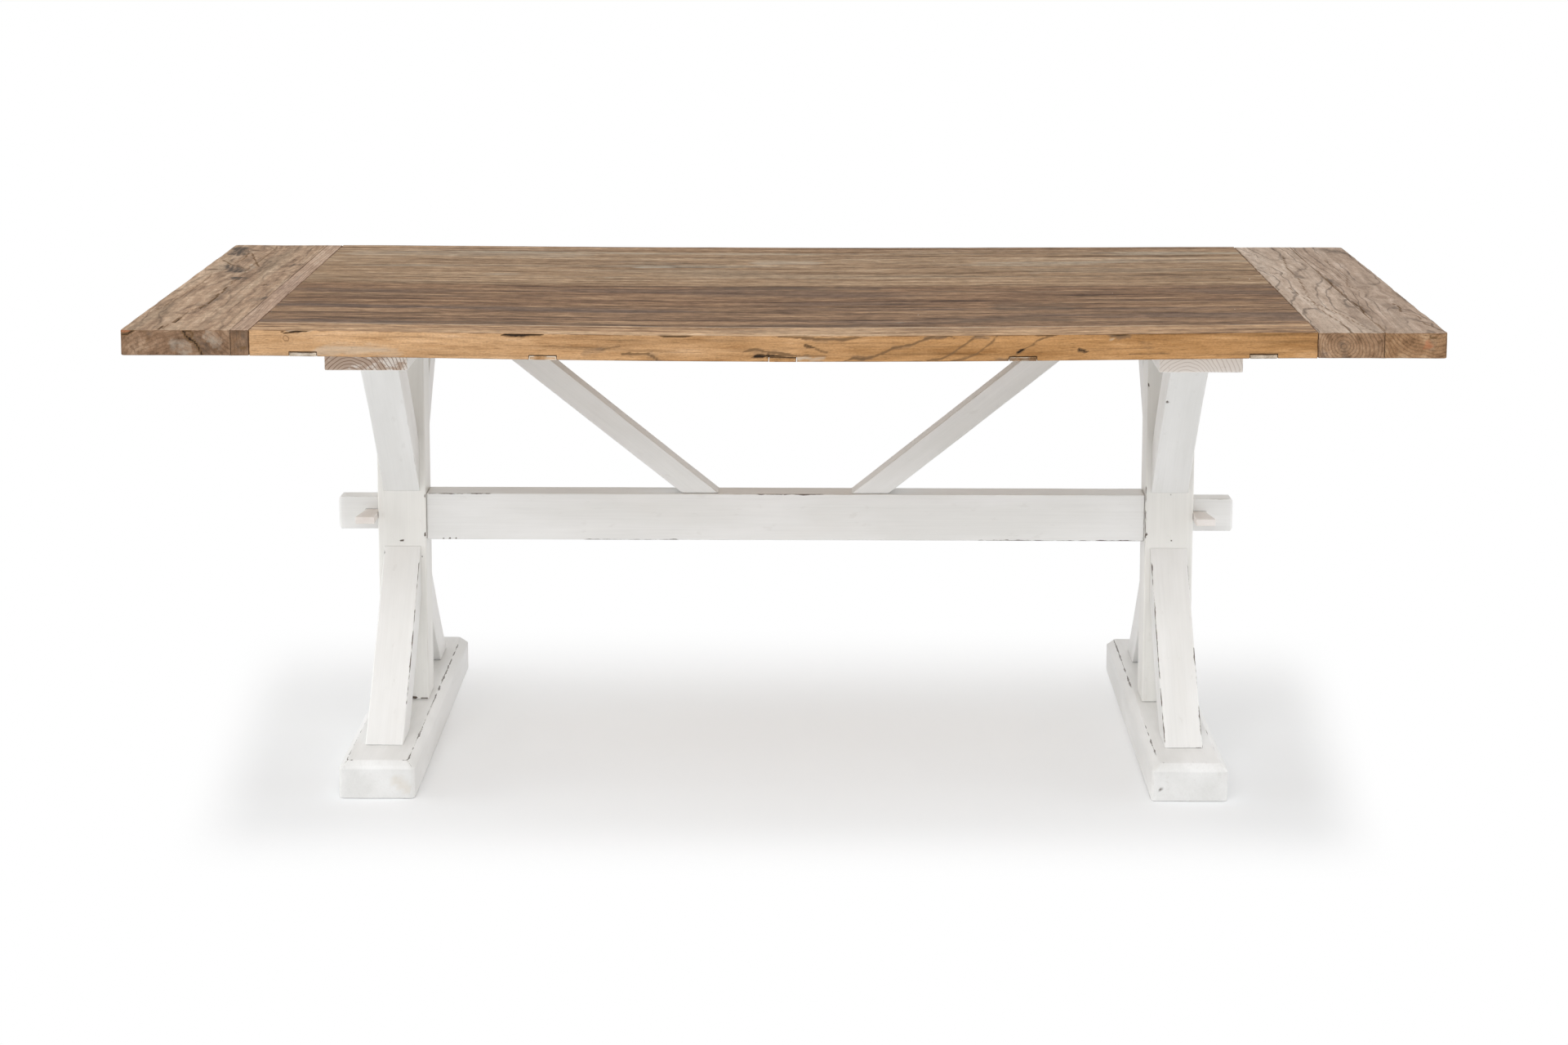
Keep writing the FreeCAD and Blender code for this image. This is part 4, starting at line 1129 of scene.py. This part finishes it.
def cut_slot(piece, side, way):
    """Cuts the key's tapered slot through a tenon."""
    play, draw, beyond = 0.0003, 0.003, 0.01
    flat, front, tail = key_widths(side)
    low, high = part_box(side + "_wedge")
    ys = (low[1] - beyond, high[1] + beyond)
    slope = (tail - front) / (high[1] - low[1])
    outer = [front + slope * (y - low[1]) + play for y in ys]
    plan = [(flat - draw, ys[0]), (outer[0], ys[0]), (outer[1], ys[1]), (flat - draw, ys[1])]
    corners = [(way * x, y, z) for z in (low[2] - play, high[2] + play) for x, y in plan]
    faces = [(3, 2, 1, 0), (4, 5, 6, 7), (0, 1, 5, 4), (1, 2, 6, 5), (2, 3, 7, 6), (3, 0, 4, 7)]
    if way < 0:
        faces = [face[::-1] for face in faces]
    mesh = bpy.data.meshes.new("slot")
    mesh.from_pydata(corners, [], faces)
    tool = linked("slot", mesh)
    cut = piece.modifiers.new("slot", "BOOLEAN")
    cut.object = tool
    cut.operation = "DIFFERENCE"
    cut.solver = "EXACT"
    bpy.context.view_layer.update()
    shown = piece.evaluated_get(bpy.context.evaluated_depsgraph_get())
    made = bpy.data.meshes.new_from_object(shown)
    piece.modifiers.clear()
    piece.data = made
    bpy.data.objects.remove(tool)


def key_widths(side):
    """A key's flat side and its outer side at the front and at the tail, as distances in X."""
    found = corners_of(side + "_wedge")
    away = np.abs(found[:, 0])
    front = found[:, 1] < found[:, 1].min() + TOUCH
    tail = found[:, 1] > found[:, 1].max() - TOUCH
    return away.min(), away[front].max(), away[tail].max()


def keys(material):
    """The tapered keys through the tenons."""
    for number, (side, way) in enumerate(SIDES.items()):
        node = side + "_wedge"
        low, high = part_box(node)
        flat, front, tail = key_widths(side)
        size = np.array([high[1] - low[1], front - flat, high[2] - low[2]])

        def put(points, low=low, flat=flat, front=front, tail=tail, size=size, way=way):
            width = front - flat + (tail - front) * points[:, 0] / size[0]
            away = flat + points[:, 1] / size[1] * width
            return np.stack([way * away, low[1] + points[:, 0], low[2] + points[:, 2]], 1)

        solid(node, size, put, material, steps=(0.005, 0.004, 0.003), edge=(0.002, 0.002, 0.002),
              body=node, arris=0.0012, chips=0.0010, relief=0.0002, seed=130 + number,
              start=25.0 + number)


def braces(material):
    """The leaning braces from the stretcher up to the top."""
    for number, (side, way) in enumerate(SIDES.items()):
        node = side + "_brace"
        found = corners_of(node)
        away, height = np.abs(found[:, 0]), found[:, 2]
        foot, head = height.min(), height.max()
        at_foot, at_head = away[height < foot + TOUCH], away[height > head - TOUCH]
        if at_foot.max() > at_head.min():
            raise RuntimeError(f"{node} has an unexpected outline")
        upper = np.array([(at_foot.min(), foot), (at_head.min(), head)])
        lower = np.array([(at_foot.max(), foot), (at_head.max(), head)])
        length, depth, _ = beam(lower, upper, 1)
        size = np.array([length, depth, found[:, 1].max() * 2])

        def put(points, size=size, lower=lower, upper=upper, way=way):
            flat = leaning(points, size, lower, upper)
            return np.stack([way * flat[:, 0], points[:, 2] - size[2] / 2, flat[:, 1]], 1)

        solid(node, size, put, material, steps=(0.009, 0.006, 0.007), edge=(0.003, 0.003, 0.004),
              chips=0.0012, relief=0.0004, settle=settled(node), seed=140 + number,
              start=29.0 + number * 1.3)


def fasteners():
    """The screws, nails and splines keep their CAD shapes and get a material."""
    kinds = {"screws": old_steel("screw_steel"), "nails": old_steel("nail_steel"),
             "spline": old_wood("end_spline", BOARD_TONES[5], EDGE_TONES, 1, seed=31.0)}
    for node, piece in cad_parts.items():
        kind = node.split("_")[-1]
        if kind in kinds:
            piece.data.materials.clear()
            piece.data.materials.append(kinds[kind])


# -------- the studio

PHOTO_WIDTH = 1920
CAMERA_PLACE = (0.046, -5.347, 1.516)
CAMERA_PITCH = 9.076
CAMERA_YAW = -0.529
CAMERA_ROLL = -0.055
FOCAL_PIXELS = 3992.6
SHIFT_PIXELS = -219.5


def camera():
    """The photograph's camera, as solved from the table's corners."""
    data = bpy.data.cameras.new("camera")
    data.sensor_width = 36.0
    data.lens = FOCAL_PIXELS * data.sensor_width / PHOTO_WIDTH
    data.shift_y = SHIFT_PIXELS / PHOTO_WIDTH
    data.clip_end = 200.0
    view = linked("camera", data)
    view.location = CAMERA_PLACE
    view.rotation_euler = (math.radians(90 - CAMERA_PITCH), math.radians(CAMERA_ROLL),
                           math.radians(-CAMERA_YAW))
    bpy.context.scene.camera = view


WORLD_LIGHT = 0.73
# each lamp's place, target, size and power
LAMPS = {"key": ((-0.6, -4.6, 4.0), (0.0, -0.2, 0.2), (4.0, 3.0), 126.0),
         "left": ((-4.6, -0.4, 1.0), (0.0, 0.0, 0.35), (3.0, 1.8), 44.0),
         "right": ((4.6, -0.4, 1.0), (0.0, 0.0, 0.35), (3.0, 1.8), 30.0)}
FLOOR_BOUNCE = 0.9
FLOOR_SHOWN = (0.93, 0.945, 0.96, 1.0)
# painted light: the floor's glow grows from nothing at the front to this strength at the back, so its
# shadow looks darker towards the front
FLOOR_GLOW = 0.055
GLOW_FADE = (-0.30, 0.10)
# painted shade on the floor's sides: its seen colour is multiplied by this share, fading in from the
# first to the second distance from the middle
FLOOR_SIDE_SHADE = 0.955
SIDE_SHADE_START = (0.58, 0.78)
SHADOW_SIDES = (0.84, 0.98)
SHADOW_LEAN = 0.08
SHADOW_FRONT = (0.48, 0.80)
SHADOW_BACK = (-0.05, 0.72)


def floor():
    """A white floor that keeps the table's shadow, darker at its sides by painted shade and lit towards
    the back by a painted glow, and runs out into the white background.
    """
    mesh = bpy.data.meshes.new("floor")
    reach = 60.0
    corners = [(-reach, -reach, 0), (reach, -reach, 0), (reach, reach, 0), (-reach, reach, 0)]
    mesh.from_pydata(corners, [], [(0, 1, 2, 3)])
    g = Graph(bpy.data.materials.new("floor"))
    mesh.materials.append(g.owner)
    x, y, _ = g.parts(g.put("ShaderNodeTexCoord").outputs["Object"])
    aside = g.math("MULTIPLY_ADD", y, -SHADOW_LEAN, g.math("ABSOLUTE", x))
    kept = g.times(g.band(aside, *SHADOW_SIDES, 1.0, 0.0), g.band(y, *SHADOW_BACK, 1.0, 0.0),
                   g.band(g.times(y, -1.0), *SHADOW_FRONT, 1.0, 0.0))
    matt, shown = g.put("ShaderNodeBsdfDiffuse"), g.put("ShaderNodeBsdfDiffuse")
    glow, white = g.put("ShaderNodeEmission"), g.put("ShaderNodeEmission")
    matt.inputs["Color"].default_value = (FLOOR_BOUNCE, FLOOR_BOUNCE, FLOOR_BOUNCE, 1)
    # painted shade on the floor's sides near the table
    side_shade = tuple(share * FLOOR_SIDE_SHADE for share in FLOOR_SHOWN[:3]) + (1,)
    sides = g.band(g.math("ABSOLUTE", x), *SIDE_SHADE_START)
    g.links.new(g.mix(sides, FLOOR_SHOWN, side_shade), shown.inputs["Color"])
    # painted light: a glow that grows towards the back
    g.links.new(g.line(y, *GLOW_FADE, 0.0, FLOOR_GLOW), glow.inputs["Strength"])
    lit = g.put("ShaderNodeAddShader", shown.outputs[0], glow.outputs[0])
    faded = g.put("ShaderNodeMixShader", kept, white.outputs[0], lit.outputs[0])
    both = g.put("ShaderNodeMixShader", g.looking(), matt.outputs[0], faded.outputs[0])
    g.nodes.remove(g.shader)
    g.links.new(both.outputs[0], g.nodes["Material Output"].inputs["Surface"])
    linked("floor", mesh)


def background():
    """White where it is seen, and soft light from all round."""
    world = bpy.data.worlds.new("studio")
    bpy.context.scene.world = world
    g = Graph(world)
    light = g.nodes["Background"]
    white = g.put("ShaderNodeBackground")
    for node, strength in ((light, WORLD_LIGHT), (white, 1.0)):
        node.inputs["Color"].default_value = (1, 1, 1, 1)
        node.inputs["Strength"].default_value = strength
    both = g.put("ShaderNodeMixShader", g.looking(), light.outputs[0], white.outputs[0])
    g.links.new(both.outputs[0], g.nodes["World Output"].inputs["Surface"])


def lamp(name, place, target, size, power):
    """A soft lamp at a place, turned to a target."""
    data = bpy.data.lights.new(name, "AREA")
    data.shape = "RECTANGLE"
    data.size, data.size_y = size
    data.energy = power
    light = linked(name, data)
    light.location = place
    aim = np.array(target) - np.array(place)
    light.rotation_euler = (math.atan2(np.hypot(aim[0], aim[1]), -aim[2]), 0,
                            math.atan2(aim[1], aim[0]) - math.pi / 2)


def studio():
    """The camera, the floor and the light."""
    camera()
    floor()
    background()
    for name, setting in LAMPS.items():
        lamp(name, *setting)
    bpy.context.scene.view_settings.view_transform = "Standard"


# -------- the table

studio()
long_boards()
cross_planks()
battens()
paint = old_paint("painted_wood")
bearers()
# the feet's paint is lighter than the rest, and painted shade darkens its faces that look to the front
# and back, so the tops and sides look lit
feet(old_paint("painted_foot", shade=(227, 227, 225), light=(239, 239, 238), dash=(4, 45),
               thick=0.0010, ends=0.935, seed=4.0))
# the posts' paint is a slightly darker, warmer copy of the white paint: painted shade and warm bounce
# light from the underside of the top
posts(old_paint("painted_post", shade=(230, 229, 225), light=(239, 238, 234), seed=1.0))
arms(paint)
stretcher(paint)
keys(old_paint("painted_key", shade=(224, 215, 208), light=(239, 234, 230), seed=7.0))
braces(paint)
fasteners()
